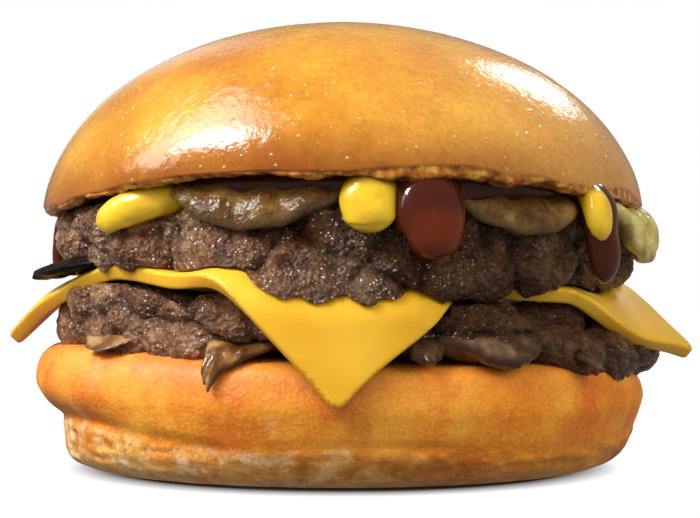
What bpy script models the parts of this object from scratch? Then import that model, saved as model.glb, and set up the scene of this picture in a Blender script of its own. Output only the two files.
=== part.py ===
"""A double cheeseburger, standing on the flat foot of its lower bun.

The fillings lean a little: they rise to the left and to the back. Every piece is shaped in
millimetres and stored in metres. Pieces that are pressed together keep a gap of GAP between them.
The front is -Y.
"""

import math
from itertools import product

import bmesh
import bpy
import numpy as np

MM = 0.001
GAP = 0.35

# Driving dimensions, in millimetres
BUN_RADIUS = 51.5
FOOT_RADIUS = 44.0
HEEL_TOP = 18.3
CROWN_MIDDLE = 40.9
CROWN_TOP = 75.1
CROWN_LIP = 42.0
CROWN_UNDER = 47.3
PATTY_RADIUS = 48.4
CHEESE_SIDE = 87.6
CHEESE_THICK = 2.4
CHEESE_HEIGHT = 30.1
PICKLE_THICK = 3.2
SAUCE_RADIUS = 44.0
SAUCE_FOOT = 43.1

LEAN_RIGHT = -0.036
LEAN_BACK = 0.030

# Colours as linear red, green and blue, with roughness
FINISHES = {
    "crust_glazed": ((0.80, 0.37, 0.055), 0.28),
    "crust_soft": ((0.76, 0.30, 0.045), 0.50),
    "beef": ((0.115, 0.055, 0.032), 0.45),
    "cheese": ((0.87, 0.47, 0.035), 0.35),
    "pickle": ((0.16, 0.12, 0.035), 0.25),
    "sauce": ((0.13, 0.022, 0.008), 0.12),
    "mustard": ((0.90, 0.62, 0.03), 0.25),
    "onion": ((0.30, 0.13, 0.045), 0.30),
    "char": ((0.015, 0.012, 0.008), 0.40),
}


# Noise

def lattice(cell, seed):
    """A repeatable number from 0 to 1 for each whole-number cell of a lattice."""
    mixed = cell @ np.array([73856093, 19349663, 83492791]) + seed * 15485863
    mixed = mixed & 0xFFFFFFFF
    mixed = ((mixed ^ (mixed >> 13)) * 1274126177) & 0xFFFFFFFF
    mixed = ((mixed ^ (mixed >> 15)) * 1103515245) & 0xFFFFFFFF
    return ((mixed ^ (mixed >> 16)) & 0xFFFFFF) / 0xFFFFFF


def swell(points, size, seed):
    """Smooth noise from -1 to 1 whose bumps are about size wide."""
    scaled = points / size
    base = np.floor(scaled).astype(np.int64)
    part = scaled - base
    part = part * part * (3 - 2 * part)
    total = np.zeros(points.shape[:-1])
    for step in product((0, 1), repeat=3):
        corner = np.array(step)
        weight = np.prod(np.where(corner == 1, part, 1 - part), axis=-1)
        total += weight * lattice(base + corner, seed)
    return 2 * total - 1


def clumps(points, size, seed):
    """Distances to the nearest and second nearest of scattered centres, in units of size."""
    scaled = points / size
    base = np.floor(scaled).astype(np.int64)
    nearest = np.full(points.shape[:-1], 9.0)
    second = nearest.copy()
    for step in product((-1, 0, 1), repeat=3):
        cell = base + np.array(step)
        centre = cell + np.stack([lattice(cell, seed + k) for k in range(3)], axis=-1)
        distance = np.linalg.norm(scaled - centre, axis=-1)
        second = np.minimum(second, np.maximum(nearest, distance))
        nearest = np.minimum(nearest, distance)
    return nearest, second


def ramp(value, low, high):
    """0 below low, 1 above high, and a smooth step between them."""
    part = np.clip((value - low) / (high - low), 0, 1)
    return part * part * (3 - 2 * part)


# Curves

def smooth_line(points, count):
    """A Catmull-Rom curve through the points, read at count equal steps along it."""
    points = np.array(points, float)
    ends = np.concatenate([2 * points[:1] - points[1:2], points, 2 * points[-1:] - points[-2:-1]])
    parts = []
    for a, b, c, d in zip(ends, ends[1:], ends[2:], ends[3:]):
        t = np.linspace(0, 1, 24, endpoint=False)[:, None]
        parts.append(
            b + 0.5 * t * (c - a + t * (2 * a - 5 * b + 4 * c - d + t * (3 * (b - c) + d - a)))
        )
    return evenly(np.concatenate([*parts, points[-1:]]), count)


def evenly(curve, count, closeness=None):
    """The same curve at count points. Where closeness is larger, they lie closer together."""
    steps = np.linalg.norm(np.diff(curve, axis=0), axis=1)
    if closeness is not None:
        steps = steps * (closeness[1:] + closeness[:-1]) / 2
    along = np.concatenate([[0], np.cumsum(steps)])
    at = np.linspace(0, along[-1], count)
    return np.stack([np.interp(at, along, column) for column in curve.T], axis=1)


def lens_curve(radius, rise, fall, fullness_up, fullness_down, middle, count):
    """Half section of a flat round: height over its widest plane is rise * sqrt(1 - (r / radius) ** fullness)."""
    turn = np.linspace(0, math.pi, 241)
    fullness = np.where(turn < math.pi / 2, fullness_up, fullness_down)
    out = radius * np.sin(turn) ** (2 / fullness)
    out[[0, -1]] = 0
    height = middle + np.cos(turn) * np.where(turn < math.pi / 2, rise, fall)
    curve = np.stack([out, height], axis=1)
    return evenly(curve, count, 1 + 7 * (out / radius) ** 10)


# Meshes

def finish(name):
    material = bpy.data.materials.get(name)
    if material is None:
        colour, roughness = FINISHES[name]
        material = bpy.data.materials.new(name)
        material.use_nodes = True
        shader = material.node_tree.nodes["Principled BSDF"]
        shader.inputs["Base Color"].default_value = (*colour, 1)
        shader.inputs["Roughness"].default_value = roughness
    return material


def put(name, mesh, home):
    obj = bpy.data.objects.new(name, mesh)
    home.objects.link(obj)
    return obj


def settle(obj):
    """Applies the object's modifiers, so that its points can be moved."""
    graph = bpy.context.evaluated_depsgraph_get()
    mesh = bpy.data.meshes.new_from_object(obj.evaluated_get(graph))
    obj.modifiers.clear()
    obj.data = mesh
    return obj


def tidy(obj, weld=0.0):
    """Welds points closer than weld millimetres, keeps only the largest body and splits faces into triangles."""
    body = bmesh.new()
    body.from_mesh(obj.data)
    if weld:
        bmesh.ops.remove_doubles(body, verts=body.verts, dist=weld * MM)
    left = set(body.verts)
    islands = []
    while left:
        front = [left.pop()]
        island = set(front)
        while front:
            for edge in front.pop().link_edges:
                fresh = set(edge.verts) - island
                island |= fresh
                front += fresh
        left -= island
        islands.append(island)
    islands.sort(key=len)
    scraps = [vert for island in islands[:-1] for vert in island]
    bmesh.ops.delete(body, geom=scraps, context="VERTS")
    bmesh.ops.triangulate(body, faces=body.faces)
    body.to_mesh(obj.data)
    body.free()
    return obj


def turned(name, curve, steps, home):
    """A solid of revolution of (radius, height) points, from the top down the outside to the foot."""
    mesh = bpy.data.meshes.new(name)
    points = [(out * MM, 0, height * MM) for out, height in curve]
    mesh.from_pydata(points, [(i, i + 1) for i in range(len(points) - 1)], [])
    obj = put(name, mesh, home)
    screw = obj.modifiers.new("turn", "SCREW")
    screw.steps = steps
    screw.render_steps = steps
    screw.use_merge_vertices = True
    screw.merge_threshold = 0.00001
    return tidy(settle(obj), 0.002)


def ball(name, radii, segments, home):
    """An egg-shaped blob of the three half sizes, round the origin."""
    body = bmesh.new()
    bmesh.ops.create_uvsphere(body, u_segments=segments, v_segments=segments * 2 // 3, radius=1)
    bmesh.ops.scale(body, vec=[size * MM for size in radii], verts=body.verts)
    mesh = bpy.data.meshes.new(name)
    body.to_mesh(mesh)
    body.free()
    return put(name, mesh, home)


def tube(name, route, radii, home, sides=8, points=11):
    """A soft strand along a smooth route, thickening and thinning as radii say, with rounded ends."""
    line = smooth_line(np.column_stack([np.array(route, float), radii]), points)
    curve = bpy.data.curves.new(name, "CURVE")
    curve.dimensions = "3D"
    curve.bevel_depth = MM
    curve.bevel_resolution = sides // 2 - 2
    curve.use_fill_caps = True
    spline = curve.splines.new("POLY")
    spline.points.add(len(line) - 1)
    for point, (x, y, z, thick) in zip(spline.points, line):
        point.co = (x * MM, y * MM, z * MM, 1)
        point.radius = thick
    guide = put(name + "_route", curve, home)
    graph = bpy.context.evaluated_depsgraph_get()
    obj = put(name, bpy.data.meshes.new_from_object(guide.evaluated_get(graph)), home)
    bpy.data.objects.remove(guide)
    return tidy(obj, 0.002)


def reshape(obj, change):
    """Moves an object's points: change takes places and outward normals in millimetres and gives new places."""
    mesh = obj.data
    count = len(mesh.vertices)
    places = np.empty(count * 3, np.float32)
    normals = np.empty(count * 3, np.float32)
    mesh.vertices.foreach_get("co", places)
    mesh.vertices.foreach_get("normal", normals)
    moved = change(places.reshape(-1, 3) / MM, normals.reshape(-1, 3).astype(float))
    mesh.vertices.foreach_set("co", (moved * MM).astype(np.float32).ravel())
    mesh.update()
    return obj


def grown(obj, by=GAP):
    """A helper copy of an object, larger by a gap all round."""
    copy = put(obj.name + "_room", obj.data.copy(), bpy.context.scene.collection)
    return reshape(copy, lambda places, normals: places + by * normals)


def join_or_cut(obj, others, operation):
    for other in others:
        step = obj.modifiers.new(operation.lower(), "BOOLEAN")
        step.operation = operation
        step.object = other
        # With cutters that run nearly alongside the surface, the exact solver loses whole bodies
        step.solver = "MANIFOLD"
        tidy(settle(obj))
    return obj


def clear_of(obj, *neighbours, by=GAP):
    """Cuts an object back from its neighbours by the gap."""
    rooms = [grown(neighbour, by) for neighbour in neighbours]
    join_or_cut(obj, rooms, "DIFFERENCE")
    for room in rooms:
        bpy.data.objects.remove(room)
    return obj


def thinned(obj, most):
    """Merges small faces, such as the slivers along cuts, until at most this many triangles are left."""
    count = len(obj.data.polygons)
    if count > most:
        step = obj.modifiers.new("thin", "DECIMATE")
        step.ratio = most / count
        tidy(settle(obj))
    return obj


# Shared forms

def polar(places):
    return np.hypot(places[:, 0], places[:, 1]), np.arctan2(places[:, 1], places[:, 0])


def lean(places, share=1.0):
    """Raises the left and the back, as the stacked fillings lean."""
    rise = LEAN_RIGHT * places[:, 0] + LEAN_BACK * places[:, 1]
    return places + np.outer(rise * share, (0, 0, 1))


def bend_down(places, start, radius, most):
    """Bends what lies beyond start on +X downwards round a radius, by at most an angle in degrees."""
    past = np.maximum(places[:, 0] - start, 0)
    turn = np.minimum(past / radius, math.radians(most))
    rest = past - turn * radius
    over = places[:, 2] + radius
    bent = places.copy()
    bent[:, 0] = np.minimum(places[:, 0], start) + over * np.sin(turn) + rest * np.cos(turn)
    bent[:, 2] = over * np.cos(turn) - radius - rest * np.sin(turn)
    return bent


def placed(places, centre, heading, pitch=0.0):
    """Tips +X down by pitch, turns it to the heading, both in degrees, and moves the origin to the centre."""
    tip, turn = math.radians(pitch), math.radians(heading)
    x = places[:, 0] * math.cos(tip) + places[:, 2] * math.sin(tip)
    z = places[:, 2] * math.cos(tip) - places[:, 0] * math.sin(tip)
    y = places[:, 1]
    return np.column_stack([
        centre[0] + x * math.cos(turn) - y * math.sin(turn),
        centre[1] + x * math.sin(turn) + y * math.cos(turn),
        centre[2] + z,
    ])


# Bun

def heel_form(places, normals):
    """A soft round whose foot is pinched on the left, with one deep fold low down and torn crumb below it."""
    out, round_ = polar(places)
    height = places[:, 2]
    side = ramp(out, 34, 46) * ramp(height, 0.0, 2.5)
    left = np.clip(-np.cos(round_), 0, 1) ** 3
    fold = 6.8 + 1.4 * np.sin(2 * round_ + 0.6) + 0.7 * np.sin(5 * round_ + 2.0)
    push = 0.6 * swell(places, 21, 11) + 1.4 * left * ramp(height, 8.0, 14.0)
    push -= 2.4 * left * np.exp(-(((height - 6.0) / 4.4) ** 2))
    push -= 0.9 * np.exp(-(((height - fold) / 1.2) ** 2))
    push += 0.7 * swell(places, 6.5, 12) * ramp(fold - height, -0.5, 2.0)
    flat = normals.copy()
    flat[:, 2] = 0
    moved = places + flat * (push * side)[:, None]
    # Its top edge stands higher at the front and at the left
    puffed = (1.4 + 0.015 * places[:, 0]) * ramp(-places[:, 1], 8, 34) * ramp(out, 26, 42)
    puffed += 0.3 * swell(places, 17, 13) + 1.1 * left * ramp(out, 34, 44)
    moved[:, 2] += puffed * ramp(height, 12, 17)
    return lean(moved, np.clip(height / HEEL_TOP, 0, 1) ** 2)


def make_heel(home):
    curve = [(0, HEEL_TOP), (30, HEEL_TOP), (45.0, HEEL_TOP - 0.1), (49.6, HEEL_TOP - 1.4)]
    curve += [(BUN_RADIUS - 0.3, 13.2), (BUN_RADIUS - 0.8, 9.2), (49.3, 4.6), (47.0, 1.4)]
    section = smooth_line([*curve, (FOOT_RADIUS, 0)], 13)
    section[:, 0] = np.maximum(section[:, 0], 0)
    section = np.concatenate([section, [(FOOT_RADIUS / 2, 0), (0, 0)]])
    return reshape(turned("bun_heel", section, 54, home), heel_form)


def crown_form(places, normals):
    """A glossy dome with a gently dented skin. Its cut rim bows up over the fillings, most at the front."""
    out, round_ = polar(places)
    height = places[:, 2]
    low = 1 - ramp(height, CROWN_LIP + 2, CROWN_LIP + 16)
    bow = np.where(round_ < 0, 2.6, 1.6) * np.sin(round_) ** 2
    heading = np.degrees(round_)
    bow -= 0.9 * np.exp(-(((heading + 150) / 16) ** 2)) + 0.5 * np.exp(-(((heading + 86) / 12) ** 2))
    dent = 0.35 * swell(places, 24, 21) + 0.5 * low * swell(places, 15, 22)
    moved = places + normals * dent[:, None]
    rim = (1 - ramp(height, CROWN_LIP, CROWN_LIP + 2.5)) * ramp(out, 40, 48)
    moved[:, 2] += rim * 0.45 * swell(places, 6, 23)
    moved[:, 2] += low * bow
    return moved


def make_crown(home):
    turn = np.linspace(math.pi / 2, 0.06, 60)
    dome = np.column_stack([
        BUN_RADIUS * np.cos(turn),
        CROWN_MIDDLE + (CROWN_TOP - CROWN_MIDDLE) * np.sin(turn),
    ])
    dome[0, 0] = 0
    lip = [(BUN_RADIUS - 0.4, CROWN_LIP + 0.3), (49.6, CROWN_LIP), (47.2, CROWN_LIP + 1.0)]
    under = [(44.8, CROWN_LIP + 2.5), (38.0, CROWN_UNDER - 0.5), (0, CROWN_UNDER)]
    section = np.concatenate([evenly(dome, 13), lip, under])
    return reshape(turned("bun_crown", section, 54, home), crown_form)


# Beef

# Half sections of the patties, as (radius, height) from the top middle to the foot. The rims hang lower
PATTIES = {
    "patty_lower": [
        (0, 28.4), (26, 28.4), (40, 28.5), (45.6, 28.0), (48.0, 26.0), (48.6, 23.0),
        (48.2, 20.2), (46.4, 18.4), (42.5, 18.2), (36, 19.2), (20, 19.2), (0, 19.2),
    ],
    "patty_upper": [
        (0, 41.8), (26, 41.8), (40, 42.0), (46.0, 41.8), (48.2, 40.0), (48.6, 36.8),
        (48.2, 33.0), (46.6, 30.4), (43.0, 29.8), (36, 31.8), (20, 31.8), (0, 31.8),
    ],
}
PATTY_CENTRE = {"patty_lower": (2.0, 0.3, 0), "patty_upper": (-0.2, 0, 0)}


def beef_relief(places, out):
    """Rounded lobes of minced beef with creases between them, strongest on the side."""
    warped = places + 1.5 * np.column_stack([swell(places, 7, 31 + k) for k in range(3)])
    big, next_big = clumps(warped * (1, 1, 0.7), 12.5, 41)
    small, _ = clumps(warped, 6.0, 47)
    bulge = 3.6 * (0.36 - big**2) + 1.5 * (0.36 - small**2)
    crease = 1.4 * np.exp(-((next_big - big) / 0.12))
    return (bulge - crease) * (0.1 + 0.9 * ramp(out, PATTY_RADIUS * 0.78, PATTY_RADIUS * 0.95))


def outline_of(name, round_):
    """How much a patty's outline stands out from its round, in millimetres."""
    hand = 0.8 * np.sin(3 * round_ + 1.3) + 0.5 * np.sin(7 * round_)
    if name == "patty_lower":
        return hand + 1.6 + 0.9 * np.cos(2 * round_) + 0.8 * np.clip(-np.sin(round_), 0, 1)
    return hand + 0.3 * np.cos(2 * round_)


def patty_form(name, places, normals):
    """A hand-pressed round: uneven in outline and lumpy at its side."""
    out, round_ = polar(places)
    heading, height = np.degrees(round_), places[:, 2]
    wide = 1 + outline_of(name, round_) / PATTY_RADIUS
    if name == "patty_lower":
        # The cheese wing on the right presses the upper part of its side in
        right = np.clip(np.cos(round_ + 0.2), 0, 1) ** 2
        wide = wide - 0.12 * right * ramp(height, 20, 28)
        # Its foot lies over the onions at the front, and its top rises to the cheese at the front left
        rise = 2.9 * np.exp(-(((heading + 86) / 34) ** 4)) * (1 - ramp(height, 19, 27))
        rise = rise + 2.2 * np.exp(-(((heading + 140) / 22) ** 2)) * ramp(height, 22, 28)
    else:
        # One lobe at the front sags over the cheese, and the foot lifts off it at the front left
        sag = np.exp(-(((heading + 91) / 19) ** 4)) * (1 - ramp(height, 31, 38))
        wide = wide + 0.088 * sag
        rise = 2.2 * np.exp(-(((heading + 140) / 15) ** 2)) * (1 - ramp(height, 31, 38)) - 3.4 * sag
    moved = places * np.column_stack([wide, wide, np.ones_like(wide)])
    moved[:, 2] += rise * ramp(out, 34, 44)
    moved = moved + normals * beef_relief(moved, out)[:, None]
    level = 0.7 * ramp(places[:, 2], 36.4, 41.8)
    return lean(moved, 1 - level) + np.array(PATTY_CENTRE[name])


def make_patty(name, home):
    outline = smooth_line(PATTIES[name], 240)
    closeness = 1 + 7 * (outline[:, 0] / PATTY_RADIUS) ** 10
    section = evenly(outline, 14, closeness)
    section[[0, -1], 0] = 0
    patty = turned(name, section, 84, home)
    return reshape(patty, lambda places, normals: patty_form(name, places, normals))


# Cheese

CHEESE_CENTRE = (1.0, -6.2)
CHEESE_TURN = 42.9
CORNER_ROUND = 2.5
# For the front, left, right and back corner: where the bend starts, its radius and its angle in degrees
DRAPE = {
    "front": (40.3, 5.0, 82),
    "left": (39.5, 18.0, 43),
    "right": (40.0, 18.0, 44),
    "back": (49.0, 6.0, 58),
}


def drape(flat):
    """The draped slice's middle surface: each point runs out from the slice's centre and bends down past the beef."""
    angle = math.radians(CHEESE_TURN)
    x = flat[:, 0] * math.cos(angle) - flat[:, 1] * math.sin(angle)
    y = flat[:, 0] * math.sin(angle) + flat[:, 1] * math.cos(angle)
    out, round_ = np.hypot(x, y), np.arctan2(y, x)
    weights = {
        "front": np.clip(-np.sin(round_), 0, 1) ** 2,
        "left": np.clip(-np.cos(round_), 0, 1) ** 2,
        "right": np.clip(np.cos(round_), 0, 1) ** 2,
        "back": np.clip(np.sin(round_), 0, 1) ** 2,
    }
    start, radius, most = (
        sum(weights[side] * DRAPE[side][k] for side in DRAPE) for k in range(3)
    )
    heading = np.degrees(round_)
    start += 2.4 * np.exp(-(((heading + 118) / 16) ** 2))
    past = np.maximum(out - start, 0)
    turn = np.minimum(past / radius, np.radians(most))
    rest = past - turn * radius
    # The front right edge is tucked in under the upper patty, and the front left edge rises in two waves
    tuck = np.exp(-(((heading + 62) / 14.5) ** 2)) * ramp(out, 24, 46)
    lift = 2.0 * np.exp(-(((heading + 144) / 17) ** 2)) + 1.5 * np.exp(-(((heading + 113) / 8) ** 2))
    reach = np.minimum(out, start) + radius * np.sin(turn) + rest * np.cos(turn) - 9.0 * tuck
    drop = radius * (1 - np.cos(turn)) + rest * np.sin(turn) - 0.8 * tuck
    spot = np.column_stack([
        CHEESE_CENTRE[0] + reach * np.cos(round_),
        CHEESE_CENTRE[1] + reach * np.sin(round_),
        CHEESE_HEIGHT - drop,
    ])
    wave = 0.7 * swell(spot * (1, 1, 0), 17, 51) * ramp(out, 22, 40) + lift * ramp(out, 28, 42)
    twist = np.where(spot[:, 0] > 0, 0.36, 0.15) * ramp(np.abs(spot[:, 0]), 34, 52)
    spot[:, 2] += wave + twist * (spot[:, 1] - CHEESE_CENTRE[1])
    return lean(spot, 1 - ramp(drop, 2, 16))


def make_cheese(home, grow=0.0, name="cheese_slice"):
    """A square slice from a grid, rounded at its corners and draped, then given its thickness."""
    half = CHEESE_SIDE / 2 + grow
    bpy.ops.mesh.primitive_grid_add(x_subdivisions=14, y_subdivisions=14, size=2 * half * MM)
    obj = bpy.context.object
    obj.name = name
    for holder in list(obj.users_collection):
        holder.objects.unlink(obj)
    home.objects.link(obj)

    def form(places, _):
        flat = places[:, :2]
        ring = np.max(np.abs(flat), axis=1, keepdims=True)
        corner = CORNER_ROUND * ring / half
        core = np.clip(flat, corner - ring, ring - corner)
        past = flat - core
        length = np.maximum(np.linalg.norm(past, axis=1, keepdims=True), 1e-9)
        rounded = core + past / length * np.max(np.abs(past), axis=1, keepdims=True)
        return drape(rounded)

    reshape(obj, form)
    wall = obj.modifiers.new("wall", "SOLIDIFY")
    wall.thickness = (CHEESE_THICK + 2 * grow) * MM
    wall.offset = 0
    wall.use_even_offset = True
    return tidy(settle(obj))


# Pickles

# Name, radius, centre, heading, pitch, and the start, radius and angle of its bend
PICKLES = [
    ("pickle_front", 16.0, (-10.4, -35.2, 43.6), -104, 0, 6.0, 7.0, 62),
    ("pickle_right", 15.5, (21.6, -29.4, 43.4), -60, 0, 6.0, 7.0, 62),
    ("pickle_side", 15.5, (41.2, -10.6, 43.2), -22, 0, 4.2, 4.5, 76),
]
CRINKLE_PITCH = 6.6
CRINKLE_DEPTH = 0.36


def make_pickle(name, radius, centre, heading, pitch, start, bend, most, home):
    """A round slice cut with a crinkled blade, its ridges running outwards, bent down over the beef."""
    half = PICKLE_THICK / 2
    section = lens_curve(radius, half, half, 12, 12, 0, 7)

    def form(places, _):
        places = places.copy()
        places[:, 2] += CRINKLE_DEPTH * np.sin(2 * math.pi * places[:, 1] / CRINKLE_PITCH)
        places = bend_down(places, start, bend, most)
        return lean(placed(places, centre, heading, pitch), 0.5)

    return reshape(turned(name, section, 26, home), form)


# Sauces

# Routes run from under the crown down over the beef, each point followed by the strand's radius
DRIPS = {
    "front_drip": [
        (11.0, -38.0, 43.4, 2.6), (11.6, -44.0, 42.6, 4.8), (12.6, -48.4, 39.8, 5.6),
        (13.2, -49.6, 36.6, 4.9), (12.8, -49.2, 34.6, 3.4), (12.6, -48.6, 33.4, 1.2),
    ],
    "right_drip": [
        (33.0, -24.0, 43.6, 2.4), (37.8, -29.4, 43.2, 3.4), (40.6, -32.4, 40.8, 3.9),
        (41.6, -33.2, 37.0, 3.6), (42.0, -33.0, 33.4, 3.2), (41.6, -32.2, 31.0, 2.4),
        (41.2, -31.6, 29.6, 0.9),
    ],
    "left_drip": [
        (-38.0, -2.0, 43.8, 1.4), (-45.4, -2.0, 43.4, 1.8), (-49.2, -1.6, 40.6, 2.1),
        (-50.2, -1.4, 37.0, 2.0), (-50.2, -1.2, 33.4, 1.8), (-49.8, -1.0, 31.0, 0.7),
    ],
}
MUSTARDS = {
    "mustard_left": [
        (-19.0, -34.0, 43.8, 1.8), (-24.5, -37.4, 42.9, 2.2), (-30.0, -38.8, 41.5, 2.4),
        (-34.5, -38.2, 40.3, 2.4), (-37.2, -37.2, 39.4, 2.1), (-38.6, -36.6, 38.8, 0.9),
    ],
    "mustard_front": [
        (4.6, -40.0, 43.6, 2.8), (4.2, -45.4, 43.0, 4.0), (4.1, -48.8, 41.6, 4.2),
        (4.2, -50.2, 39.8, 4.1), (4.3, -50.2, 38.4, 3.7), (4.4, -49.8, 37.0, 1.4),
    ],
    "mustard_right": [
        (35.8, -27.6, 43.6, 1.6), (38.8, -32.6, 43.0, 2.4), (40.6, -36.0, 41.0, 2.8),
        (41.4, -37.2, 38.8, 2.6), (41.4, -37.4, 37.0, 1.9), (41.2, -37.2, 36.0, 0.7),
    ],
}
# Past this radius a strand is pressed flat, to this share of its depth
STRAND_FLAT_FROM = 48.0
STRAND_DEPTH = 0.62


def make_strand(name, route, home):
    """A soft strand that lies flat against the beef's side."""
    route = np.array(route)

    def form(places, _):
        out, _ = polar(places)
        pressed = np.minimum(out, STRAND_FLAT_FROM)
        pressed = pressed + STRAND_DEPTH * np.maximum(out - STRAND_FLAT_FROM, 0)
        share = pressed / np.maximum(out, 1)
        return places * np.column_stack([share, share, np.ones_like(share)])

    return reshape(tube(name, route[:, :3], route[:, 3], home), form)


def make_sauce(home, neighbours):
    """A thin layer between beef and crown that runs over the pickles, with three drips down the upper patty."""
    top, foot = CROWN_UNDER - 0.5, SAUCE_FOOT
    curve = [(0, top), (34, top - 0.4), (SAUCE_RADIUS - 1.6, 44.9), (SAUCE_RADIUS, 44.0)]
    curve += [(SAUCE_RADIUS - 0.8, foot + 0.2)] + [(out, foot) for out in (39, 33, 27, 21, 15, 0)]
    section = np.array(curve)

    def form(places, _):
        out, round_ = polar(places)
        front = np.clip(-np.sin(round_), 0, 1)
        wide = 1 + 0.055 * front * ramp(out, 20, 40)
        moved = places * np.column_stack([wide, wide, np.ones_like(wide)])
        covers = [
            ramp(radius + 3.5 - np.hypot(moved[:, 0] - centre[0], moved[:, 1] - centre[1]), 0, 4)
            for _, radius, centre, *_ in PICKLES
        ]
        moved[:, 2] = top - (top - moved[:, 2]) * (1 - 0.7 * np.max(covers, axis=0))
        moved[:, 2] += 1.3 * np.sin(round_) ** 2 * ramp(out, 30, SAUCE_RADIUS)
        return lean(moved, 0.3 * (1 - ramp(places[:, 2], foot, foot + 1.5)))

    sauce = reshape(turned("sauce", section, 44, home), form)
    drips = [make_strand(name, route, home) for name, route in DRIPS.items()]
    join_or_cut(sauce, drips, "UNION")
    for drip in drips:
        bpy.data.objects.remove(drip)
    return clear_of(sauce, *neighbours)


# Onions and charred leaf

# Name, length, width and thickness of each fried petal, its centre, heading, pitch and bend in degrees,
# then its curl, how far its outer end narrows and how far that end is drawn to the side
ONIONS = [
    ("onion_1", 11.0, 14.0, 1.3, (-34.6, -31.0, 21.0), -138, 4, 18, (0.6, 0.3, 1.0)),
    ("onion_2", 20.0, 15.0, 1.8, (-11.8, -43.4, 21.6), -106, 8, 60, (1.4, 0.75, -5.5)),
    ("onion_3", 12.0, 9.0, 2.8, (11.0, -44.4, 22.0), -79, 2, 20, (0.8, 0.3, 0.0)),
    ("onion_4", 13.0, 18.0, 4.4, (20.8, -41.4, 22.4), -64, 2, 18, (1.6, 0.3, 1.5)),
    ("onion_5", 12.0, 7.0, 1.6, (35.0, -33.6, 21.0), -44, 2, 24, (0.6, 0.3, 0.0)),
]


def make_onion(name, length, width, thick, centre, heading, pitch, most, shape, home):
    """A fried petal: a cupped oval that lies on the bun and hangs over its edge."""
    curl, narrowing, drawn = shape

    def form(places, _):
        places = places.copy()
        along = places[:, 0] / (length / 2)
        outer = ramp(along, -0.3, 1.0)
        places[:, 1] = places[:, 1] * (1 - narrowing * outer) + drawn * outer
        across = places[:, 1] / (width / 2)
        places[:, 2] += curl * (across**2 - 0.3) + 0.3 * np.sin(5 * along + 2 * across)
        places = bend_down(places, 1.0, 7.0, most)
        return lean(placed(places, centre, heading, pitch))

    petal = ball(name, (length / 2, width / 2, thick / 2), 12, home)
    return tidy(reshape(petal, form))


CHAR_ROUTE = [
    (-34.0, -28.0, 33.4, 1.8), (-39.0, -25.6, 33.4, 2.8), (-43.6, -21.6, 32.7, 3.1),
    (-47.8, -16.6, 31.9, 2.4), (-52.0, -11.0, 31.2, 0.4),
]


def make_char(home):
    """A blackened strip of onion skin, flat and pointed, caught between cheese and upper beef."""
    route = np.array(CHAR_ROUTE)
    strip = tube("charred_strip", route[:, :3], route[:, 3], home)

    def form(places, _):
        middle = np.interp(-places[:, 0], [34, 40, 47, 53], [33.4, 33.2, 32.0, 31.2])
        moved = places.copy()
        moved[:, 2] = middle + 0.34 * (places[:, 2] - middle)
        moved[:, 2] += 0.35 * np.sin(places[:, 0] * 0.9 + places[:, 1])
        return moved

    return reshape(strip, form)


# Assembly

MOST_TRIANGLES = {
    "patty_lower": 3100, "patty_upper": 2350, "sauce": 1440,
    "pickle_front": 420, "pickle_right": 380, "pickle_side": 440,
    "mustard_front": 220, "mustard_left": 220, "mustard_right": 200,
}


def cleared_scene():
    for obj in list(bpy.data.objects):
        bpy.data.objects.remove(obj)
    home = bpy.data.collections.new("double_hamburger")
    bpy.context.scene.collection.children.link(home)
    return home


def main():
    home = cleared_scene()
    heel = make_heel(home)
    crown = make_crown(home)
    cheese = make_cheese(home)
    cheese_room = make_cheese(bpy.context.scene.collection, GAP, "cheese_room")
    char = clear_of(make_char(home), cheese)
    onions = [make_onion(*sizes, home) for sizes in ONIONS]
    for count, onion in enumerate(onions):
        clear_of(onion, heel, cheese, *onions[:count])

    lower, upper = (make_patty(name, home) for name in PATTIES)
    join_or_cut(lower, [cheese_room], "DIFFERENCE")
    join_or_cut(upper, [cheese_room], "DIFFERENCE")
    bpy.data.objects.remove(cheese_room)
    clear_of(lower, heel, *onions)
    clear_of(lower, upper, by=2 * GAP)
    clear_of(upper, char, crown)

    pickles = [make_pickle(*sizes, home) for sizes in PICKLES]
    for pickle in pickles:
        clear_of(pickle, upper, crown)
    clear_of(pickles[1], pickles[0])
    clear_of(pickles[2], pickles[1])
    mustards = [make_strand(name, route, home) for name, route in MUSTARDS.items()]
    for mustard in mustards:
        clear_of(mustard, upper, crown, *pickles)
    sauce = make_sauce(home, [upper, crown, *pickles, *mustards])

    for name, most in MOST_TRIANGLES.items():
        thinned(bpy.data.objects[name], most)

    dressed = {
        "crust_soft": [heel],
        "crust_glazed": [crown],
        "beef": [lower, upper],
        "cheese": [cheese],
        "pickle": pickles,
        "mustard": mustards,
        "sauce": [sauce],
        "onion": onions,
        "char": [char],
    }
    for name, pieces in dressed.items():
        for piece in pieces:
            piece.data.materials.clear()
            piece.data.materials.append(finish(name))
            piece.data.shade_smooth()


main()
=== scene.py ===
"""A double cheeseburger: the looks of each piece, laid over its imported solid.

Every skin is a grid of points in millimetres, worked out with the formulas of the solid it stands for and
then given the fine relief of the real food. The front is -Y, and the burger stands at the origin.
"""

import math
from functools import partial
from itertools import product

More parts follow.
